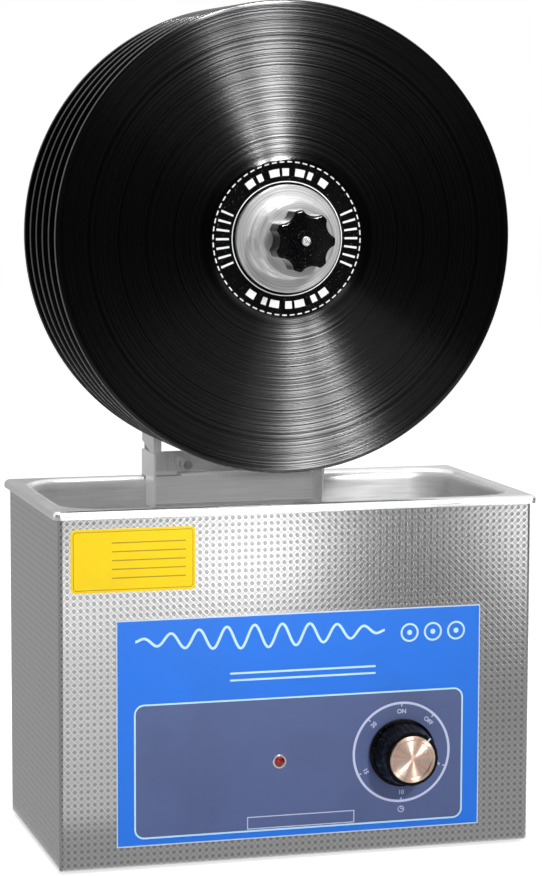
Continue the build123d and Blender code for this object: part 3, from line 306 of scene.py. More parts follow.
def placed_group(tree, group, vector, **values):
    """A group node in a material, fed with a vector and its own values."""
    node = tree.nodes.new("ShaderNodeGroup")
    node.node_tree = group
    tree.links.new(vector, node.inputs["Vector"])
    for name, value in values.items():
        wire(tree, value, node.inputs[name.replace("_", " ").capitalize()])
    return node


def bumped(tree, shader, height, strength, distance):
    """Feeds a height through a Bump node to the shader's normal."""
    node = tree.nodes.new("ShaderNodeBump")
    node.inputs["Strength"].default_value = strength
    node.inputs["Distance"].default_value = distance
    tree.links.new(height, node.inputs["Height"])
    tree.links.new(node.outputs["Normal"], shader.inputs["Normal"])


def centred_on(tree, position, centre_x, centre_z):
    """The position, measured from an axis along Y."""
    node = tree.nodes.new("ShaderNodeMapping")
    node.inputs["Location"].default_value = (-centre_x, 0.0, -centre_z)
    tree.links.new(position, node.inputs["Vector"])
    return node.outputs["Vector"]


def ringed_sheen(tree, shader, anisotropy):
    """Spreads the highlights across rings about an axis along Y."""
    shader.inputs["Anisotropic"].default_value = anisotropy
    shader.inputs["Anisotropic Rotation"].default_value = 0.25
    tangent = tree.nodes.new("ShaderNodeTangent")
    tangent.direction_type = "RADIAL"
    tangent.axis = "Y"
    tree.links.new(tangent.outputs["Tangent"], shader.inputs["Tangent"])


def sheet_metal(name, colour, roughness, stretch, scale=900.0, contrast=0.12, metallic=1.0):
    """Brushed or rolled metal with grain along one direction and soft handling marks."""
    material, tree, shader, position = blank_material(name)
    grain = placed_group(tree, grain_group, position, stretch=stretch, scale=scale)
    marks = placed_group(tree, handling_group, position, scale=12.0)
    dark = tuple(channel * (1 - contrast) for channel in colour)
    shade = mixed(tree, grain.outputs["Shade"], dark, colour)
    wear_and_rim_highlight = tuple(channel * 0.9 for channel in colour)
    shade = mixed(tree, marks.outputs["Mask"], shade, wear_and_rim_highlight, amount=0.35)
    tree.links.new(shade, shader.inputs["Base Color"])
    rough = times(tree, marks.outputs["Mask"], 0.06)
    rough = plus(tree, rough, times(tree, grain.outputs["Shade"], 0.05))
    tree.links.new(plus(tree, rough, roughness), shader.inputs["Roughness"])
    shader.inputs["Metallic"].default_value = metallic
    bumped(tree, shader, grain.outputs["Height"], 0.3, 0.03 * MM)
    return material


def moulded(name, colour, roughness, grain_scale=1400.0, depth=0.25, specular=0.5):
    """Moulded plastic or rubber: fine texture, faint colour drift and dust specks."""
    material, tree, shader, position = blank_material(name)
    grain = placed_group(tree, grain_group, position, stretch=EVEN, scale=grain_scale)
    marks = placed_group(tree, handling_group, position, scale=30.0)
    lighter = tuple(min(1.0, channel * 1.25 + 0.004) for channel in colour)
    shade = mixed(tree, grain.outputs["Shade"], colour, lighter, amount=0.4)
    shade = mixed(tree, marks.outputs["Specks"], shade, DUST, amount=0.12)
    tree.links.new(shade, shader.inputs["Base Color"])
    rough = plus(tree, times(tree, marks.outputs["Mask"], 0.1), roughness)
    tree.links.new(rough, shader.inputs["Roughness"])
    shader.inputs["Specular IOR Level"].default_value = specular
    bumped(tree, shader, grain.outputs["Height"], depth, 0.04 * MM)
    return material


def printed_film(name, colour, roughness=0.32, drift=0.06):
    """Ink on plastic film: even colour with a slight unevenness and a fine orange-peel surface."""
    material, tree, shader, position = blank_material(name)
    marks = placed_group(tree, handling_group, position, scale=22.0)
    peel = placed_group(tree, grain_group, position, stretch=EVEN, scale=700.0)
    deeper = tuple(channel * (1 - drift) for channel in colour)
    shade = mixed(tree, marks.outputs["Mask"], colour, deeper)
    shade = mixed(tree, peel.outputs["Shade"], shade, deeper, amount=0.25)
    tree.links.new(shade, shader.inputs["Base Color"])
    rough = plus(tree, times(tree, marks.outputs["Mask"], 0.08), roughness)
    tree.links.new(rough, shader.inputs["Roughness"])
    shader.inputs["Specular IOR Level"].default_value = 0.15
    bumped(tree, shader, peel.outputs["Height"], 0.12, 0.03 * MM)
    return material


def embossed_steel():
    """The casing's skin: stainless sheet rolled with a lattice of dimples; its colour has painted
    shade in the dimples and a painted highlight on the web between them.
    """
    material, tree, shader, position = blank_material("embossed stainless sheet")
    lattice = placed_group(tree, lattice_group, position, pitch=EMBOSS_PITCH)
    tree.links.new(position.node.outputs["Normal"], lattice.inputs["Normal"])
    marks = placed_group(tree, handling_group, position, scale=9.0)
    # Painted shade darkens the dimples and a painted highlight lightens the web, as light would
    # fall on the embossing.
    ground, painted_dimple_shade, painted_web_highlight = grey(0.40), grey(0.24), grey(0.58)
    shade = mixed(tree, marks.outputs["Mask"], ground, grey(0.38), amount=0.5)
    shade = mixed(tree, lattice.outputs["Web"], shade, painted_web_highlight, amount=0.7)
    shade = mixed(tree, lattice.outputs["Dimple"], shade, painted_dimple_shade, amount=0.8)
    tree.links.new(shade, shader.inputs["Base Color"])
    rough = times(tree, lattice.outputs["Web"], -0.05)
    tree.links.new(plus(tree, rough, 0.18), shader.inputs["Roughness"])
    shader.inputs["Metallic"].default_value = 1.0
    bumped(tree, shader, lattice.outputs["Height"], 0.15, 0.16 * MM)
    return material


def tank_sheet():
    """The tank: satin inside, where cleaning dulls it, and polished on the rolled rim."""
    material, tree, shader, position = blank_material("tank steel")
    place = parts_of(tree, position)
    rim = band(tree, place["Z"], tank_high.z - 3 * MM, tank_high.z - 1.2 * MM)
    for axis, reach in (("X", tank_high.x), ("Y", tank_high.y)):
        past = band(tree, size_of(tree, place[axis]), reach - 4.5 * MM, reach - 4.0 * MM)
        rim = larger(tree, rim, past)
    grain = placed_group(tree, grain_group, position, stretch=(0.05, 0.05, 1.0), scale=700.0)
    marks = placed_group(tree, handling_group, position, scale=16.0)
    shade = mixed(tree, grain.outputs["Shade"], grey(0.62), grey(0.72))
    shade = mixed(tree, marks.outputs["Mask"], shade, grey(0.56), amount=0.4)
    shade = mixed(tree, rim, shade, grey(0.86))
    tree.links.new(shade, shader.inputs["Base Color"])
    rough = plus(tree, times(tree, grain.outputs["Shade"], 0.08), 0.40)
    rough = plus(tree, rough, times(tree, rim, -0.22))
    tree.links.new(rough, shader.inputs["Roughness"])
    metal = plus(tree, times(tree, rim, 0.9), 0.05)
    tree.links.new(metal, shader.inputs["Metallic"])
    bumped(tree, shader, grain.outputs["Height"], 0.2, 0.03 * MM)
    return material


APRON_DROP = 18.9 * MM


def folded_sheet():
    """The saddle: satin folded sheet, with painted highlights along the apron's lower edge, the
    fold at the rim and the front edge.
    """
    material, tree, shader, position = blank_material("satin saddle steel")
    place = parts_of(tree, position)
    grain = placed_group(tree, grain_group, position, stretch=LENGTHWISE, scale=700.0)
    marks = placed_group(tree, handling_group, position, scale=20.0)
    apron_foot = tank_high.z - APRON_DROP
    # Painted highlights: thin light bands at the apron's lower edge, at the fold on the rim and
    # along the front edge, where sharp edges would catch the light.
    edge = times(
        tree,
        band(tree, place["Z"], apron_foot + 1.3 * MM, apron_foot + 0.9 * MM),
        band(tree, place["Z"], apron_foot - 0.3 * MM, apron_foot - 0.1 * MM),
    )
    painted_fold_highlight = times(
        tree,
        band(tree, place["Z"], tank_high.z + 2.0 * MM, tank_high.z + 1.6 * MM),
        band(tree, place["Z"], tank_high.z - 0.3 * MM, tank_high.z),
    )
    front = band(tree, place["Y"], saddle_low.y + 1.5 * MM, saddle_low.y + 1.1 * MM)
    edge = larger(tree, larger(tree, edge, painted_fold_highlight), front)
    shade = mixed(tree, grain.outputs["Shade"], grey(0.8), grey(0.9))
    shade = mixed(tree, marks.outputs["Mask"], shade, grey(0.76), amount=0.4)
    # Lightens the base colour in those bands: painted highlight.
    shade = mixed(tree, edge, shade, grey(0.92))
    tree.links.new(shade, shader.inputs["Base Color"])
    rough = plus(tree, times(tree, grain.outputs["Shade"], 0.08), 0.36)
    tree.links.new(rough, shader.inputs["Roughness"])
    shader.inputs["Metallic"].default_value = 0.04
    bumped(tree, shader, grain.outputs["Height"], 0.25, 0.03 * MM)
    return material


def grooved_vinyl():
    """Pressed vinyl: the grooves give a bow-tie sheen, the gaps between tracks are smoother, and a
    painted highlight lightens the outer bead.
    """
    material, tree, shader, position = blank_material("grooved vinyl")
    centred = centred_on(tree, position, spindle_x, spindle_z)
    tracks = placed_group(tree, tracks_group, centred, groove_pitch=0.6 * MM)
    shade = mixed(tree, tracks.outputs["Loudness"], grey(0.0012), (0.003, 0.003, 0.0033))
    shade = mixed(tree, tracks.outputs["Gap"], shade, grey(0.001))
    radius = off_axis(tree, parts_of(tree, centred))
    # Painted highlight: a light band along each record's rounded outer edge stands in for the light
    # that edge catches.
    wear_and_rim_highlight = band(tree, radius, disc_radius - 0.8 * MM, disc_radius - 0.2 * MM)
    shade = mixed(tree, wear_and_rim_highlight, shade, grey(0.12))
    tree.links.new(shade, shader.inputs["Base Color"])
    rough = times(tree, band(tree, tracks.outputs["Loudness"], 0.38, 0.62), 0.14)
    rough = plus(tree, rough, 0.12)
    smooth = times(tree, tracks.outputs["Gap"], -0.03)
    tree.links.new(plus(tree, rough, smooth), shader.inputs["Roughness"])
    shader.inputs["Specular IOR Level"].default_value = 0.2
    ringed_sheen(tree, shader, 1.0)
    bumped(tree, shader, tracks.outputs["Height"], 0.05, 0.02 * MM)
    return material


def spun_metal(name, colour, roughness, centre, anisotropy=0.9, metallic=1.0, sectors=None):
    """Turned metal facing the front, with tool rings and perhaps sectors of a second colour."""
    material, tree, shader, position = blank_material(name)
    centred = centred_on(tree, position, *centre)
    tracks = placed_group(tree, tracks_group, centred, groove_pitch=0.35 * MM)
    marks = placed_group(tree, handling_group, position, scale=25.0)
    dark = tuple(channel * 0.72 for channel in colour)
    shade = mixed(tree, band(tree, tracks.outputs["Loudness"], 0.3, 0.7), dark, colour)
    shade = mixed(tree, marks.outputs["Mask"], shade, dark, amount=0.3)
    if sectors:
        around = parts_of(tree, centred)
        turn = math_node(tree, "ARCTAN2", around["X"], around["Z"])
        streaks = line_noise(tree, turn, 3.2, 4.0)
        shade = mixed(tree, band(tree, streaks, 0.4, 0.62), shade, sectors)
    tree.links.new(shade, shader.inputs["Base Color"])
    rough = times(tree, tracks.outputs["Loudness"], 0.1)
    tree.links.new(plus(tree, rough, roughness), shader.inputs["Roughness"])
    shader.inputs["Metallic"].default_value = metallic
    ringed_sheen(tree, shader, anisotropy)
    bumped(tree, shader, tracks.outputs["Height"], 0.1, 0.02 * MM)
    return material


casing_steel = embossed_steel()
tank_steel = tank_sheet()
plain_steel = sheet_metal("plain sheet steel", grey(0.5), 0.36, LENGTHWISE)
saddle_steel = folded_sheet()
mast_steel = sheet_metal("satin mast steel", grey(0.78), 0.34, UPRIGHT, 700.0, 0.14, metallic=0.2)
screw_steel = sheet_metal("bright zinc screws", grey(0.88), 0.25, EVEN, 600.0, 0.08, metallic=0.6)
wire_steel = sheet_metal("plated wire", grey(0.78), 0.12, EVEN, 300.0, 0.05)
cast_alloy = sheet_metal("turned alloy", (0.6, 0.6, 0.62), 0.32, EVEN, 800.0, 0.15)
motor_steel = sheet_metal("zinc coated motor steel", (0.3, 0.3, 0.31), 0.4, UPRIGHT, 500.0, 0.2)
dull_zinc = sheet_metal("dull zinc screws", grey(0.42), 0.45, EVEN, 500.0, 0.2, metallic=0.3)
ferrite = moulded("sintered ferrite", (0.05, 0.05, 0.055), 0.7, 900.0, 0.5)
piezo = moulded("fired piezo ceramic", (0.16, 0.13, 0.1), 0.55, 900.0, 0.4)
rubber = moulded("black rubber", grey(0.012), 0.78, 1100.0, 0.5)
black_plastic = moulded("matte black plastic", (0.014, 0.014, 0.015), 0.5)
KNOB_BLACK = (0.001, 0.001, 0.0015)
gloss_black = moulded("gloss black plastic", KNOB_BLACK, 0.1, 900.0, 0.05, specular=0.09)
white_polymer = moulded("white bearing polymer", (0.72, 0.72, 0.69), 0.5)
grey_plastic = moulded("grey moulded plastic", (0.28, 0.28, 0.27), 0.5)
board_green = moulded("green circuit board", (0.02, 0.11, 0.05), 0.4)
blue_sleeve = moulded("capacitor sleeve", (0.02, 0.025, 0.06), 0.3)
blue_film = printed_film("blue panel film", (0.024, 0.19, 0.80))
slate_film = printed_film("slate panel ink", (0.10, 0.135, 0.29), 0.36, 0.1)
pale_ink = printed_film("pale cyan ink", (0.55, 0.82, 1.0), 0.36)
white_ink = printed_film("white ink", (0.60, 0.64, 0.86), 0.4)
paper_print = printed_film("white paper print", grey(0.78), 0.5)
olive_ink = printed_film("olive label ink", (0.42, 0.27, 0.004), 0.4)
film_edge = printed_film("film edge", (0.62, 0.72, 0.8), 0.4)
yellow_film = printed_film("yellow label film", (0.92, 0.64, 0.002), 0.3)
paper_black = moulded("black record paper", grey(0.003), 0.8, 1600.0, 0.2, specular=0.0)
vinyl = grooved_vinyl()
clamp_metal = spun_metal("turned clamp metal", grey(0.74), 0.1, spindle_centre, 0.3, metallic=0.5)
cap_metal = spun_metal(
    "spun copper-toned cap", (0.70, 0.56, 0.50), 0.25, dial_centre, sectors=(0.80, 0.52, 0.38)
)
shaft_steel = sheet_metal("ground spindle steel", grey(0.66), 0.16, EVEN, 500.0, 0.06)


def clear_red():
    """Red lens: tinted clear plastic that keeps a bright core."""
    material, tree, shader, position = blank_material("clear red lens")
    swirl = noise(tree, position, 300.0)
    shade = mixed(tree, band(tree, swirl, 0.35, 0.65), (0.06, 0.001, 0.004), (0.55, 0.01, 0.012))
    tree.links.new(shade, shader.inputs["Base Color"])
    shader.inputs["Roughness"].default_value = 0.08
    shader.inputs["Transmission Weight"].default_value = 0.25
    shader.inputs["Coat Weight"].default_value = 0.6
    return material


lens_red = clear_red()

RECORD_NUMBERS = range(1, 7)
NODES_BY_FINISH = (
    (casing_steel, "casing"),
    (tank_steel, "tank"),
    (saddle_steel, "saddle_bracket"),
    (mast_steel, "mast_post_left mast_post_right mast_bridge"),
    (plain_steel, "base_plate transducer_tails carriage_plate"),
    (screw_steel, "base_screws panel_screws bridge_screws mast_foot_screws carriage_screws"),
    (screw_steel, "transducer_bolts lift_lock_washer"),
    (dull_zinc, "mast_locating_screws"),
    (wire_steel, "fan_guard lamp_bezel"),
    (cast_alloy, "transducer_heads heat_sink output_sleeve drive_hub"),
    (motor_steel, "motor_can"),
    (shaft_steel, "timer_shaft spindle"),
    (clamp_metal, "clamp_cap"),
    (cap_metal, "timer_knob_cap"),
    (piezo, "piezo_rings"),
    (ferrite, "output_transformer"),
    (board_green, "generator_board"),
    (blue_sleeve, "filter_capacitors"),
    (rubber, "rubber_feet"),
    (grey_plastic, "timer_body"),
    (white_polymer, "slide_shoes"),
    (black_plastic, "fan_frame fan_rotor mains_inlet fuse_drawer motor_cover motor_socket"),
    (black_plastic, "record_spacers clamp_foot_left clamp_foot_right"),
    (gloss_black, "timer_knob star_knob knob_insert lift_lock_knob"),
    (gloss_black, "thumb_screw_left thumb_screw_right"),
    (lens_red, "lamp_lens"),
    (blue_film, "front_overlay"),
    (yellow_film, "notice_label"),
    (paper_black, "record_labels"),
    (vinyl, " ".join(f"record_{number}" for number in RECORD_NUMBERS)),
)
finishes = {name: finish for finish, names in NODES_BY_FINISH for name in names.split()}
for node_name, finish in finishes.items():
    for slot in nodes[node_name].material_slots:
        slot.material = finish


# ---------------------------------------------------------------- mesh helpers
INK = 0.05 * MM


def mesh_from(mesh_maker, name):
    """A bmesh as a new mesh; the bmesh is freed."""
    mesh = bpy.data.meshes.new(name)
    mesh_maker.to_mesh(mesh)
    mesh_maker.free()
    return mesh


def linked(name, data):
    """A new object in the scene, at the origin."""
    made = bpy.data.objects.new(name, data)
    bpy.context.collection.objects.link(made)
    return made


def piece_from(mesh_maker, name, finish, body, smooth=None):
    """Finishes a bmesh as an object at the origin that rides on a body."""
    bmesh.ops.remove_doubles(mesh_maker, verts=mesh_maker.verts, dist=1e-7)
    bmesh.ops.recalc_face_normals(mesh_maker, faces=mesh_maker.faces)
    mesh = mesh_from(mesh_maker, name)
    piece = linked(name, mesh)
    mesh.materials.append(finish)
    if smooth is not None:
        for polygon in mesh.polygons:
            polygon.use_smooth = True
        mesh.set_sharp_from_angle(angle=radians(smooth))
    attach(piece, body)
    return piece


FRONT_AXIS = (0.0, 1.0, 0.0)


def spun_ring(mesh_maker, profile, centre, steps):
    """Spins a closed profile of (radius, y) points about an axis along Y through (x, z)."""
    verts = [mesh_maker.verts.new((centre[0] + radius, y, centre[1])) for radius, y in profile]
    edges = [mesh_maker.edges.new(pair) for pair in zip(verts, [*verts[1:], verts[0]])]
    bmesh.ops.spin(
        mesh_maker,
        geom=verts + edges,
        cent=(centre[0], 0.0, centre[1]),
        axis=FRONT_AXIS,
        angle=2 * pi,
        steps=steps,
        use_merge=True,
        use_duplicate=False,
    )


def flat_ring(mesh_maker, centre, outer, inner, y, steps):
    """A printed ring on a front plane."""
    profile = [(outer, y), (outer, y - INK), (inner, y - INK), (inner, y)]
    spun_ring(mesh_maker, profile, centre, steps)


def pushed(mesh_maker, faces, vec, keep):
    """Extrudes faces by a vector, and keeps them too or leaves the place open."""
    grown = bmesh.ops.extrude_face_region(mesh_maker, geom=faces, use_keep_orig=keep)
    moved = [part for part in grown["geom"] if isinstance(part, bmesh.types.BMVert)]
    bmesh.ops.translate(mesh_maker, verts=moved, vec=vec)


def raised_sheet(mesh_maker, faces, thickness):
    """Gives flat front-facing faces a thickness towards the viewer of the dial."""
    pushed(mesh_maker, faces, (0.0, -thickness, 0.0), keep=True)


def faces_at(verts):
    """The faces that meet any of some corners, each once."""
    return list(dict.fromkeys(face for vert in verts for face in vert.link_faces))


def rounded_plate(mesh_maker, centre, size, corner, y, thickness, outline=None):
    """A thin rounded rectangle on a front plane, or only its outline of that width."""
    made = bmesh.ops.create_grid(mesh_maker, x_segments=1, y_segments=1, size=0.5)
    place = Matrix.Translation((centre[0], y, centre[1])) @ Matrix.Rotation(pi / 2, 4, "X")
    place = place @ Matrix.Diagonal((*size, 1.0, 1.0))
    bmesh.ops.transform(mesh_maker, matrix=place, verts=made["verts"])
    faces = faces_at(made["verts"])
    if corner > 0:
        rounded = bmesh.ops.bevel(
            mesh_maker,
            geom=made["verts"],
            offset=corner,
            segments=8,
            profile=0.5,
            affect="VERTICES",
            material=-1,
        )
        faces = faces_at(rounded["verts"])
    if outline:
        border = bmesh.ops.inset_region(
            mesh_maker, faces=faces, thickness=outline, use_even_offset=True, use_boundary=True
        )
        inner = [face for face in faces if face.is_valid]
        bmesh.ops.delete(mesh_maker, geom=inner, context="FACES_ONLY")
        faces = border["faces"]
    raised_sheet(mesh_maker, faces, thickness)


def arc_block(mesh_maker, centre, radii, turns, y, thickness):
    """A block of a flat ring, between two radii and two clockwise angles from the top."""
    start, stop = (radians(turn) for turn in turns)
    across, rise = sin(start), cos(start)
    points = [(centre[0] + radius * across, y, centre[1] + radius * rise) for radius in radii]
    verts = [mesh_maker.verts.new(point) for point in points]
    edge = mesh_maker.edges.new(verts)
    steps = max(1, round((stop - start) / radians(4)))
    bmesh.ops.spin(
        mesh_maker,
        geom=[*verts, edge],
        cent=(centre[0], 0.0, centre[1]),
        axis=FRONT_AXIS,
        angle=stop - start,
        steps=steps,
        use_duplicate=False,
    )
    new_faces = [face for face in mesh_maker.faces if not face.tag]
    faces = [face for face in new_faces if abs(face.calc_center_median().y - y) < 1e-7]
    raised_sheet(mesh_maker, faces, thickness)
    for face in mesh_maker.faces:
        face.tag = True


def island_of(seed):
    """Tags and returns all faces that hang together with a face."""
    seed.tag = True
    found = [seed]
    for reached in found:
        for face in faces_at(reached.verts):
            if not face.tag:
                face.tag = True
                found.append(face)
    return found


HEAD_ROUNDING, HEAD_REACH = 0.35 * MM, 3.5 * MM
CROSS_REACH, CROSS_WIDTH, CROSS_DEPTH = 0.6, 0.22, 0.3  # shares of the head's radius


def cross_recess(mesh_maker, head, radius):
    """Rounds a screw head's edge and sinks a cross into its face."""
    reach, width, depth = radius * CROSS_REACH, radius * CROSS_WIDTH, radius * CROSS_DEPTH
    axis, centre = head.normal.copy(), head.calc_center_median()
    bmesh.ops.bevel(
        mesh_maker,
        geom=list(head.edges),
        offset=HEAD_ROUNDING,
        segments=2,
        profile=0.5,
        affect="EDGES",
        material=-1,
    )
    side = axis.orthogonal().normalized()
    other = axis.cross(side)

    def top_faces():
        """The faces of the head's flat top."""
        return [
            face
            for face in mesh_maker.faces
            if face.normal.dot(axis) > 0.999
            and abs((face.calc_center_median() - centre).dot(axis)) < 1e-6
            and (face.calc_center_median() - centre).length < HEAD_REACH
        ]

    for direction in (side, other):
        for offset in (-reach, -width / 2, width / 2, reach):
            faces = top_faces()
            parts = dict.fromkeys(part for face in faces for part in (*face.verts, *face.edges))
            bmesh.ops.bisect_plane(
                mesh_maker,
                geom=[*faces, *parts],
                dist=1e-7,
                plane_co=centre + direction * offset,
                plane_no=direction,
            )
    arms = []
    for face in top_faces():
        place = face.calc_center_median() - centre
        across, along = abs(place.dot(side)), abs(place.dot(other))
        if max(across, along) < reach and min(across, along) < width / 2:
            arms.append(face)
    pushed(mesh_maker, arms, axis * -depth, keep=False)


def crossed_screws(node_name, body):
    """The screws of a node again, with rounded heads and cross recesses."""
    mesh_maker = bmesh.new()
    mesh_maker.from_mesh(nodes[node_name].data)
    bmesh.ops.remove_doubles(mesh_maker, verts=mesh_maker.verts, dist=1e-6)
    bmesh.ops.dissolve_limit(
        mesh_maker, angle_limit=radians(0.5), verts=mesh_maker.verts[:], edges=mesh_maker.edges[:]
    )
    for face in mesh_maker.faces:
        face.tag = False
    screws = [island_of(face) for face in mesh_maker.faces if not face.tag]
    heads = [max(screw, key=lambda face: face.calc_area()) for screw in screws]
    spots = [(head.calc_center_median(), head.normal.copy(), head.calc_area()) for head in heads]
    for centre, axis, area in spots:
        head = min(
            (face for face in mesh_maker.faces if face.normal.dot(axis) > 0.999),
            key=lambda face: (face.calc_center_median() - centre).length,
        )
        cross_recess(mesh_maker, head, (area / pi) ** 0.5)
    crossed = piece_from(mesh_maker, f"{node_name}_crossed", finishes[node_name], body, smooth=30)
    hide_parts(node_name)


FONT_SIZE, FONT_WEIGHT = 1.38, 0.035  # for letters 1 high


def upright_text(words, height, centre, y, thickness, turn=0.0):
    """Letters as a mesh on a front plane, turned clockwise about their own centre."""
    curve = bpy.data.curves.new(f"text {words}", "FONT")
    curve.body = words
    curve.size = height * FONT_SIZE
    curve.align_x = "CENTER"
    curve.align_y = "CENTER"
    curve.extrude = thickness / 2
    curve.offset = height * FONT_WEIGHT
    holder = linked(curve.name, curve)
    bpy.context.view_layer.update()
    shown = holder.evaluated_get(bpy.context.evaluated_depsgraph_get())
    mesh = bpy.data.meshes.new_from_object(shown)
    bpy.data.objects.remove(holder)
    bpy.data.curves.remove(curve)
    place = Matrix.Translation((centre[0], y - thickness / 2, centre[1]))
    mesh.transform(place @ Matrix.Rotation(turn, 4, "Y") @ Matrix.Rotation(pi / 2, 4, "X"))
    return mesh


def carried_to_dial(mesh_maker, verts, turn):
    """Carries marks drawn about the origin to the dial, turned clockwise in degrees."""
    place = Matrix.Translation((dial_x, 0.0, dial_z)) @ Matrix.Rotation(radians(turn), 4, "Y")
    bmesh.ops.transform(mesh_maker, matrix=place, verts=verts)


# ---------------------------------------------------------------- records
DISC_STEPS = 256
BEAD, WEB, HUB = 1.0 * MM, 0.8 * MM, 1.2 * MM
HUB_RADIUS, HOLE_RADIUS = 50.5 * MM, 3.65 * MM


def record_disc(number):
    """One record: raised label area, grooved field, rounded bead at the edge."""
    low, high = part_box(f"record_{number}")
    middle = (low.y + high.y) / 2
    edge = disc_radius
    half = [
        (HOLE_RADIUS, HUB),
        (HUB_RADIUS - 0.6 * MM, HUB),
        (HUB_RADIUS, HUB - 0.15 * MM),
        (HUB_RADIUS + 1.6 * MM, WEB + 0.05 * MM),
        (HUB_RADIUS + 3 * MM, WEB),
        (100 * MM, WEB),
        (edge - 4.6 * MM, WEB),
        (edge - 3.4 * MM, WEB + 0.12 * MM),
        (edge - 2.6 * MM, BEAD),
        (edge - 1.0 * MM, BEAD),
        (edge - 0.4 * MM, BEAD - 0.25 * MM),
        (edge, BEAD - 0.75 * MM),
    ]
    profile = [(r, middle - y) for r, y in half] + [(r, middle + y) for r, y in reversed(half)]
    mesh_maker = bmesh.new()
    spun_ring(mesh_maker, profile, (spindle_x, spindle_z), DISC_STEPS)
    disc = piece_from(mesh_maker, f"record_disc_{number}", vinyl, "record_stack", smooth=35)
    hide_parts(f"record_{number}")


for disc_number in RECORD_NUMBERS:
    record_disc(disc_number)

# ---------------------------------------------------------------- printed record label
DASH_RADII, DASH_STEP, DASH_SPAN = (48.5 * MM, 49.3 * MM), 6.0, 3.6
BLOCK_RADII, BLOCK_STEP = (40.0 * MM, 44.8 * MM), 11.5
BLOCK_SPANS = (8.0, 5.0, 9.0, 6.0, 8.5, 4.5, 8.0)
BAR_RADII, BAR_STEP, BAR_SPAN = (38.5 * MM, 47.0 * MM), 7.5, 1.8
paper_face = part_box("record_labels")[0].y
mesh_maker = bmesh.new()


def label_mark(radii, start, span):
    """A block of the label's print, from a start angle over a span in degrees."""
    arc_block(mesh_maker, spindle_centre, radii, (start, start + span), paper_face, INK)


for dash in range(60):
    label_mark(DASH_RADII, dash * DASH_STEP, DASH_SPAN)
flat_ring(mesh_maker, spindle_centre, 36.7 * MM, 36.1 * MM, paper_face, 128)
for middle in (0.0, 180.0):
    for block, span in enumerate(BLOCK_SPANS):
        label_mark(BLOCK_RADII, middle - 39.0 + block * BLOCK_STEP, span)
for middle in (90.0, 270.0):
    for bar in range(-3, 4):
        label_mark(BAR_RADII, middle + bar * BAR_STEP - BAR_SPAN / 2, BAR_SPAN)
record_print = piece_from(mesh_maker, "record_label_print", paper_print, "record_stack")

# ---------------------------------------------------------------- small hardware
crossed_screws("panel_screws", "machine")
crossed_screws("base_screws", "machine")
crossed_screws("bridge_screws", "machine")

# ---------------------------------------------------------------- printed front panel
INK_FACE = panel_face - INK
slate_low = Vector((-110.0 * MM, 0.0, 20.6 * MM))
slate_high = Vector((111.3 * MM, 0.0, 108.0 * MM))
slate_centre, slate_size = front_of(slate_low, slate_high)
SLATE_CORNER, SLATE_LINE, FILM_LINE = 6.5 * MM, 1.1 * MM, 0.7 * MM

mesh_maker = bmesh.new()
rounded_plate(mesh_maker, slate_centre, slate_size, SLATE_CORNER, panel_face, INK)
slate = piece_from(mesh_maker, "slate_field", slate_film, "machine")

mesh_maker = bmesh.new()
rounded_plate(
    mesh_maker, slate_centre, slate_size, SLATE_CORNER, INK_FACE, INK, outline=SLATE_LINE
)
slate_line = piece_from(mesh_maker, "slate_outline", pale_ink, "machine")

mesh_maker = bmesh.new()
overlay_centre, overlay_size = front_of(overlay_low, overlay_high)
rounded_plate(
    mesh_maker, overlay_centre, overlay_size, 0.0, panel_face, INK, outline=FILM_LINE
)
overlay_line = piece_from(mesh_maker, "overlay_edge", film_edge, "machine")


def wave_ribbon(mesh_maker, left, right, middle_z, height, width, waves, y):
    """A sine wave drawn as a ribbon across a front plane; it dies away at both ends."""
    made = bmesh.ops.create_grid(mesh_maker, x_segments=waves * 16, y_segments=1, size=0.5)
    span = right - left
    for vert in made["verts"]:
        share = vert.co.x + 0.5
        phase = 2 * pi * waves * share
        swell = height / 2 * sin(pi * share) ** 0.6
        slope = Vector((span, 2 * pi * waves * swell * cos(phase))).normalized()
        offset = vert.co.y * width
        across = left + span * share - slope.y * offset
        rise = middle_z + swell * sin(phase) + slope.x * offset
        vert.co = Vector((across, y, rise))
    raised_sheet(mesh_maker, faces_at(made["verts"]), INK)


# Header: a wave, three ringed dots and two ruled lines
WAVE_LEFT, WAVE_RIGHT, WAVE_Z = -109 * MM, 57 * MM, 148.5 * MM
WAVE_HEIGHT, WAVE_LINE, WAVE_COUNT = 15 * MM, 1.7 * MM, 9
FIRST_SIGN_X, SIGN_STEP, SIGN_Z = 74 * MM, 16 * MM, 146 * MM
SIGN_OUTSIDE, SIGN_INSIDE, DOT_SIZE, DOT_CORNER = 6.2 * MM, 4.9 * MM, 3.4 * MM, 1.6 * MM
RULE_X, FIRST_RULE_Z, RULE_STEP = 2 * MM, 125 * MM, 4.5 * MM
RULE_SIZE, RULE_CORNER = (98 * MM, 1.3 * MM), 0.6 * MM
mesh_maker = bmesh.new()
wave_ribbon(
    mesh_maker, WAVE_LEFT, WAVE_RIGHT, WAVE_Z, WAVE_HEIGHT, WAVE_LINE, WAVE_COUNT, panel_face
)
for number in range(3):
    sign_centre = (FIRST_SIGN_X + SIGN_STEP * number, SIGN_Z)
    flat_ring(mesh_maker, sign_centre, SIGN_OUTSIDE, SIGN_INSIDE, panel_face, 40)
    rounded_plate(mesh_maker, sign_centre, (DOT_SIZE, DOT_SIZE), DOT_CORNER, panel_face, INK)
for number in range(2):
    rule_centre = (RULE_X, FIRST_RULE_Z - RULE_STEP * number)
    rounded_plate(mesh_maker, rule_centre, RULE_SIZE, RULE_CORNER, panel_face, INK)
header = piece_from(mesh_maker, "header_print", pale_ink, "machine")

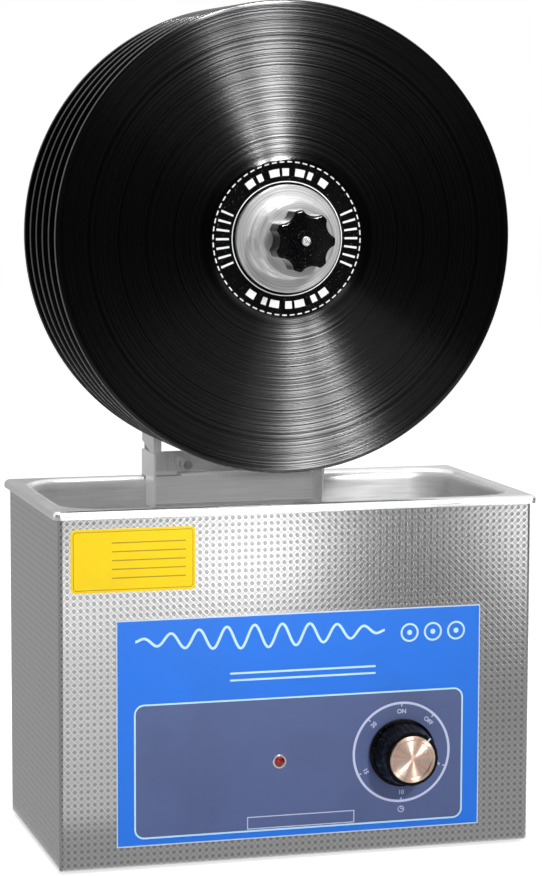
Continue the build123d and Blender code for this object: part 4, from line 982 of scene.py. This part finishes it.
# Dial ring and its ticks, which run a little into the ring
RING_RADIUS, RING_WIDTH = 33.4 * MM, 1.6 * MM
RING_INSIDE = RING_RADIUS - RING_WIDTH
TICK_SIZE, TICK_RADIUS = (0.8 * MM, 1.7 * MM), RING_INSIDE - 0.65 * MM
tick_turns = {"ON": 0.0, "OFF": 43.0, "5": 110.0, "10": 180.0, "15": 245.0, "20": 315.0}
mesh_maker = bmesh.new()
flat_ring(mesh_maker, dial_centre, RING_RADIUS, RING_INSIDE, INK_FACE, 128)
for turn in tick_turns.values():
    before = set(mesh_maker.verts)
    rounded_plate(mesh_maker, (0.0, TICK_RADIUS), TICK_SIZE, 0.0, INK_FACE, INK)
    carried_to_dial(mesh_maker, [vert for vert in mesh_maker.verts if vert not in before], turn)
dial_ring = piece_from(mesh_maker, "dial_ring", white_ink, "machine")

# The empty box at the panel's foot, and the clock sign with its two hands
BOX_CENTRE, BOX_SIZE, BOX_LINE = (0.8 * MM, 26.4 * MM), (72.4 * MM, 8.2 * MM), 0.6 * MM
CLOCK_DROP, CLOCK_OUTSIDE, CLOCK_INSIDE = 38 * MM, 2.2 * MM, 1.7 * MM
UPRIGHT_HAND, UPRIGHT_HAND_RISE = (0.5 * MM, 1.8 * MM), 0.8 * MM
LEVEL_HAND, LEVEL_HAND_SHIFT = (1.6 * MM, 0.5 * MM), 0.7 * MM
mesh_maker = bmesh.new()
rounded_plate(mesh_maker, BOX_CENTRE, BOX_SIZE, 0.0, INK_FACE, INK, outline=BOX_LINE)
clock_z = dial_z - CLOCK_DROP
flat_ring(mesh_maker, (dial_x, clock_z), CLOCK_OUTSIDE, CLOCK_INSIDE, INK_FACE, 32)
for hand_centre, hand_size in (
    ((dial_x, clock_z + UPRIGHT_HAND_RISE), UPRIGHT_HAND),
    ((dial_x + LEVEL_HAND_SHIFT, clock_z), LEVEL_HAND),
):
    rounded_plate(mesh_maker, hand_centre, hand_size, 0.0, INK_FACE, INK)
panel_signs = piece_from(mesh_maker, "panel_signs", white_ink, "machine")

NUMERAL_RADIUS, NUMERAL_HEIGHT = 26.9 * MM, 2.9 * MM
mesh_maker = bmesh.new()
for words, turn in tick_turns.items():
    angle = radians(turn)
    centre = (dial_x + NUMERAL_RADIUS * sin(angle), dial_z + NUMERAL_RADIUS * cos(angle))
    upright = turn if turn < 90 or turn > 270 else turn - 180
    letters = upright_text(words, NUMERAL_HEIGHT, centre, INK_FACE, INK, radians(upright))
    mesh_maker.from_mesh(letters)
    bpy.data.meshes.remove(letters)
numerals = piece_from(mesh_maker, "dial_numerals", white_ink, "machine")

# Label: a border, and plain ruled lines where its text would be
BORDER_MARGIN, BORDER_CORNER, BORDER_LINE = 1.5 * MM, 2.2 * MM, 0.5 * MM
TEXT_SHIFT, TEXT_DROP, TEXT_STEP, TEXT_SIZE = 10 * MM, 9 * MM, 5.6 * MM, (48 * MM, 0.8 * MM)
mesh_maker = bmesh.new()
label_centre, label_size = front_of(label_low, label_high)
border_size = [side - 2 * BORDER_MARGIN for side in label_size]
rounded_plate(
    mesh_maker, label_centre, border_size, BORDER_CORNER, sticker_face, INK, outline=BORDER_LINE
)
for number in range(5):
    text_centre = (label_centre[0] + TEXT_SHIFT, label_high.z - TEXT_DROP - TEXT_STEP * number)
    rounded_plate(mesh_maker, text_centre, TEXT_SIZE, 0.0, sticker_face, INK)
label_print = piece_from(mesh_maker, "label_print", olive_ink, "machine")

# ---------------------------------------------------------------- timer knob pointer
POINTER_TURN = tick_turns["OFF"]
POINTER_RADIUS, POINTER_SIZE = 16.55 * MM, (1.0 * MM, 2.5 * MM)
mesh_maker = bmesh.new()
rounded_plate(mesh_maker, (0.0, POINTER_RADIUS), POINTER_SIZE, 0.0, knob_low.y, 2 * INK)
carried_to_dial(mesh_maker, mesh_maker.verts, POINTER_TURN)
pointer = piece_from(mesh_maker, "knob_pointer", white_ink, "timer")

# ---------------------------------------------------------------- stage, light and camera
def seen_directly(tree):
    """1 for rays from the camera, mirror-like surfaces and glass, and 0 for the light itself."""
    rays = tree.nodes.new("ShaderNodeLightPath").outputs
    seen = larger(tree, rays["Is Camera Ray"], rays["Is Glossy Ray"])
    return larger(tree, seen, rays["Is Transmission Ray"])


def stage_paint(name, shade, specular, roughness=0.5):
    """A material of the studio, its tree and the socket for its glow."""
    paint, tree, shader, _ = blank_material(name)
    shader.inputs["Base Color"].default_value = (*grey(shade), 1.0)
    shader.inputs["Roughness"].default_value = roughness
    shader.inputs["Specular IOR Level"].default_value = specular
    shader.inputs["Emission Color"].default_value = (1.0, 1.0, 1.0, 1.0)
    return paint, tree, shader.inputs["Emission Strength"]


FLOOR_RADIUS, FLOOR_GLOW = 9.0, 0.56
floor_mesh = bmesh.new()
bmesh.ops.create_circle(floor_mesh, cap_ends=True, segments=64, radius=FLOOR_RADIUS)
floor_data = mesh_from(floor_mesh, "floor")
floor = linked("floor", floor_data)
floor_paint, floor_tree, floor_glow = stage_paint("pale floor", 0.93, 0.1, 0.9)
wire(floor_tree, times(floor_tree, seen_directly(floor_tree), FLOOR_GLOW), floor_glow)
floor_data.materials.append(floor_paint)

scene = bpy.context.scene
scene.view_settings.view_transform = "Standard"
world = bpy.data.worlds.new("white studio")
scene.world = world
world.use_nodes = True
sky_tree = world.node_tree
sky = sky_tree.nodes["Background"]
AMBIENT = 0.45
seen_extra = times(sky_tree, seen_directly(sky_tree), 1.0 - AMBIENT)
wire(sky_tree, plus(sky_tree, seen_extra, AMBIENT), sky.inputs["Strength"])
sky.inputs["Color"].default_value = (1.0, 1.0, 1.0, 1.0)


def aimed_lamp(name, light, place, target):
    """A lamp at a place that points at a target."""
    lamp = linked(name, light)
    aim = (Vector(target) - Vector(place)).to_track_quat("-Z", "Y")
    lamp.matrix_world = Matrix.Translation(place) @ aim.to_matrix().to_4x4()
    return lamp


def soft_lamp(name, place, target, size, power):
    """A square soft box."""
    light = bpy.data.lights.new(name, "AREA")
    light.shape = "SQUARE"
    light.size = size
    light.energy = power
    aimed_lamp(name, light, place, target)


def spot_lamp(name, place, target, radius, half_angle, power, mirrors=True):
    """A narrow spot, with its half angle in degrees, for mirror-like surfaces or for all others."""
    light = bpy.data.lights.new(name, "SPOT")
    light.shadow_soft_size = radius
    light.spot_size = radians(2 * half_angle)
    light.spot_blend = 0.6
    light.energy = power
    lamp = aimed_lamp(name, light, place, target)
    lamp.visible_diffuse = not mirrors
    lamp.visible_glossy = mirrors


def reflector(name, corner, first_edge, second_edge, shade):
    """A studio card that only mirror-like surfaces see."""
    corner, first_edge, second_edge = Vector(corner), Vector(first_edge), Vector(second_edge)
    card_mesh = bmesh.new()
    bmesh.ops.create_grid(card_mesh, x_segments=1, y_segments=1, size=0.5)
    for vert in card_mesh.verts:
        vert.co = corner + first_edge * (vert.co.x + 0.5) + second_edge * (vert.co.y + 0.5)
    card_data = mesh_from(card_mesh, name)
    card = linked(name, card_data)
    paint, _, glow = stage_paint(name, 0.0, 0.0)
    glow.default_value = shade
    card_data.materials.append(paint)
    card.visible_camera = False
    card.visible_diffuse = False
    card.visible_shadow = False
    card.visible_transmission = False


def floor_card(name, corner, width, depth, shade, lean=0.0):
    """A card that lies on the floor; its far edge is moved sideways by the lean."""
    reflector(name, corner, (width, 0.0, 0.0), (lean, depth, 0.0), shade)


# Standing cards in front, at the sides and behind, then cards that lie on the floor
reflector("black flag", (-3.0, -3.6, 0.001), (7.5, 0.0, 0.0), (0.0, 0.0, 4.0), 0.0)
reflector("left wing", (-2.6, -3.6, 0.0), (0.0, 3.4, 0.0), (0.0, 0.0, 3.0), 0.2)
reflector("right wing", (3.2, -3.6, 0.0), (0.0, 3.4, 0.0), (0.0, 0.0, 3.0), 0.1)
reflector("back wall left", (-3.0, 3.0, 0.0), (3.7, 0.0, 0.0), (0.0, 0.0, 1.6), 0.42)
reflector("back wall right", (0.7, 3.0, 0.0), (3.5, 0.0, 0.0), (0.0, 0.0, 1.6), 0.62)
floor_card("far floor card", (-2.6, -3.6, 0.002), 5.8, 1.4, 0.05)
floor_card("bright far floor card", (-0.25, -2.2, 0.002), 0.65, 0.78, 0.9)
floor_card("bright floor card", (-0.25, -1.42, 0.002), 0.55, 0.52, 2.3)
floor_card("hot floor strip", (0.545, -2.2, 0.003), 0.12, 1.1, 5.4, lean=-0.352)
floor_card("dark floor strip", (0.665, -2.2, 0.004), 0.22, 1.3, 0.0, lean=-0.416)
floor_card("right floor card", (0.885, -2.2, 0.003), 0.25, 1.1, 3.5, lean=-0.352)
floor_card("outer right floor card", (0.95, -2.2, 0.002), 2.2, 2.0, 0.25)
floor_card("left middle floor card", (-0.25, -0.9, 0.002), 0.3, 0.5, 1.2)
floor_card("left near floor card", (-0.25, -0.4, 0.003), 0.2, 0.2, 1.0)
floor_card("right middle floor card", (0.05, -0.9, 0.002), 0.9, 0.5, 0.5)
floor_card("near floor card", (-0.25, -0.4, 0.002), 1.2, 0.31, 0.58)
floor_card("left floor card", (-2.6, -2.2, 0.002), 2.35, 2.0, 0.5)
floor_card("rear floor card", (-2.5, -0.2, 0.002), 2.34, 3.2, 0.46)

stack_centre = (spindle_x, record_low.y, spindle_z)
soft_lamp("front key", (0.65, -2.8, 1.8), stack_centre, 0.3, 40.0)
lower_half = (spindle_x, record_low.y, spindle_z - 0.6 * disc_radius)
WIDE_GLINT, NARROW_GLINT = (0.735, -2.8, 1.8), (0.33, -2.8, 1.8)
spot_lamp("wide glint", WIDE_GLINT, stack_centre, 0.2, 4.2, 2000.0)
spot_lamp("narrow glint", NARROW_GLINT, stack_centre, 0.09, 4.2, 850.0)
spot_lamp("wide low glint", WIDE_GLINT, lower_half, 0.2, 2.0, 5200.0)
spot_lamp("narrow low glint", NARROW_GLINT, lower_half, 0.09, 2.0, 2200.0)
tank_middle = (tank_low.x + tank_high.x) / 2
saddle_front = (tank_middle - 10 * MM, saddle_low.y, tank_high.z + 5 * MM)
spot_lamp("saddle fill", (-0.55, -2.6, 0.62), saddle_front, 0.1, 3.4, 60.0, mirrors=False)
knob_front = (dial_x, knob_low.y, dial_z)
spot_lamp("dial glint", (1.39, -1.52, 0.3), knob_front, 0.03, 1.4, 90.0)
soft_lamp("overhead", (-0.3, 0.3, 2.4), (0.0, 0.0, 0.2), 1.6, 24.0)

# Camera: place in metres, turn in radians, focal length for a 36 mm sensor on the long side
CAMERA_PLACE = Vector((-0.49608, -1.74913, 0.47004))
CAMERA_YAW, CAMERA_PITCH, CAMERA_ROLL = 0.278361, 0.1116297, 0.0030435
FOCAL_PIXELS, IMAGE_HEIGHT = 2740.73, 876
level_ahead = cos(CAMERA_PITCH)
ahead = Vector((sin(CAMERA_YAW) * level_ahead, cos(CAMERA_YAW) * level_ahead, -sin(CAMERA_PITCH)))
level_right = Vector((cos(CAMERA_YAW), -sin(CAMERA_YAW), 0.0))
level_up = level_right.cross(ahead)
right = level_right * cos(CAMERA_ROLL) + level_up * sin(CAMERA_ROLL)
up = level_up * cos(CAMERA_ROLL) - level_right * sin(CAMERA_ROLL)
lens = bpy.data.cameras.new("product camera")
lens.sensor_width = 36.0
lens.lens = FOCAL_PIXELS / IMAGE_HEIGHT * lens.sensor_width
lens.clip_start = 0.05
camera = linked("product camera", lens)
facing = Matrix((right, up, -ahead)).transposed().to_4x4()
camera.matrix_world = Matrix.Translation(CAMERA_PLACE) @ facing
scene.camera = camera
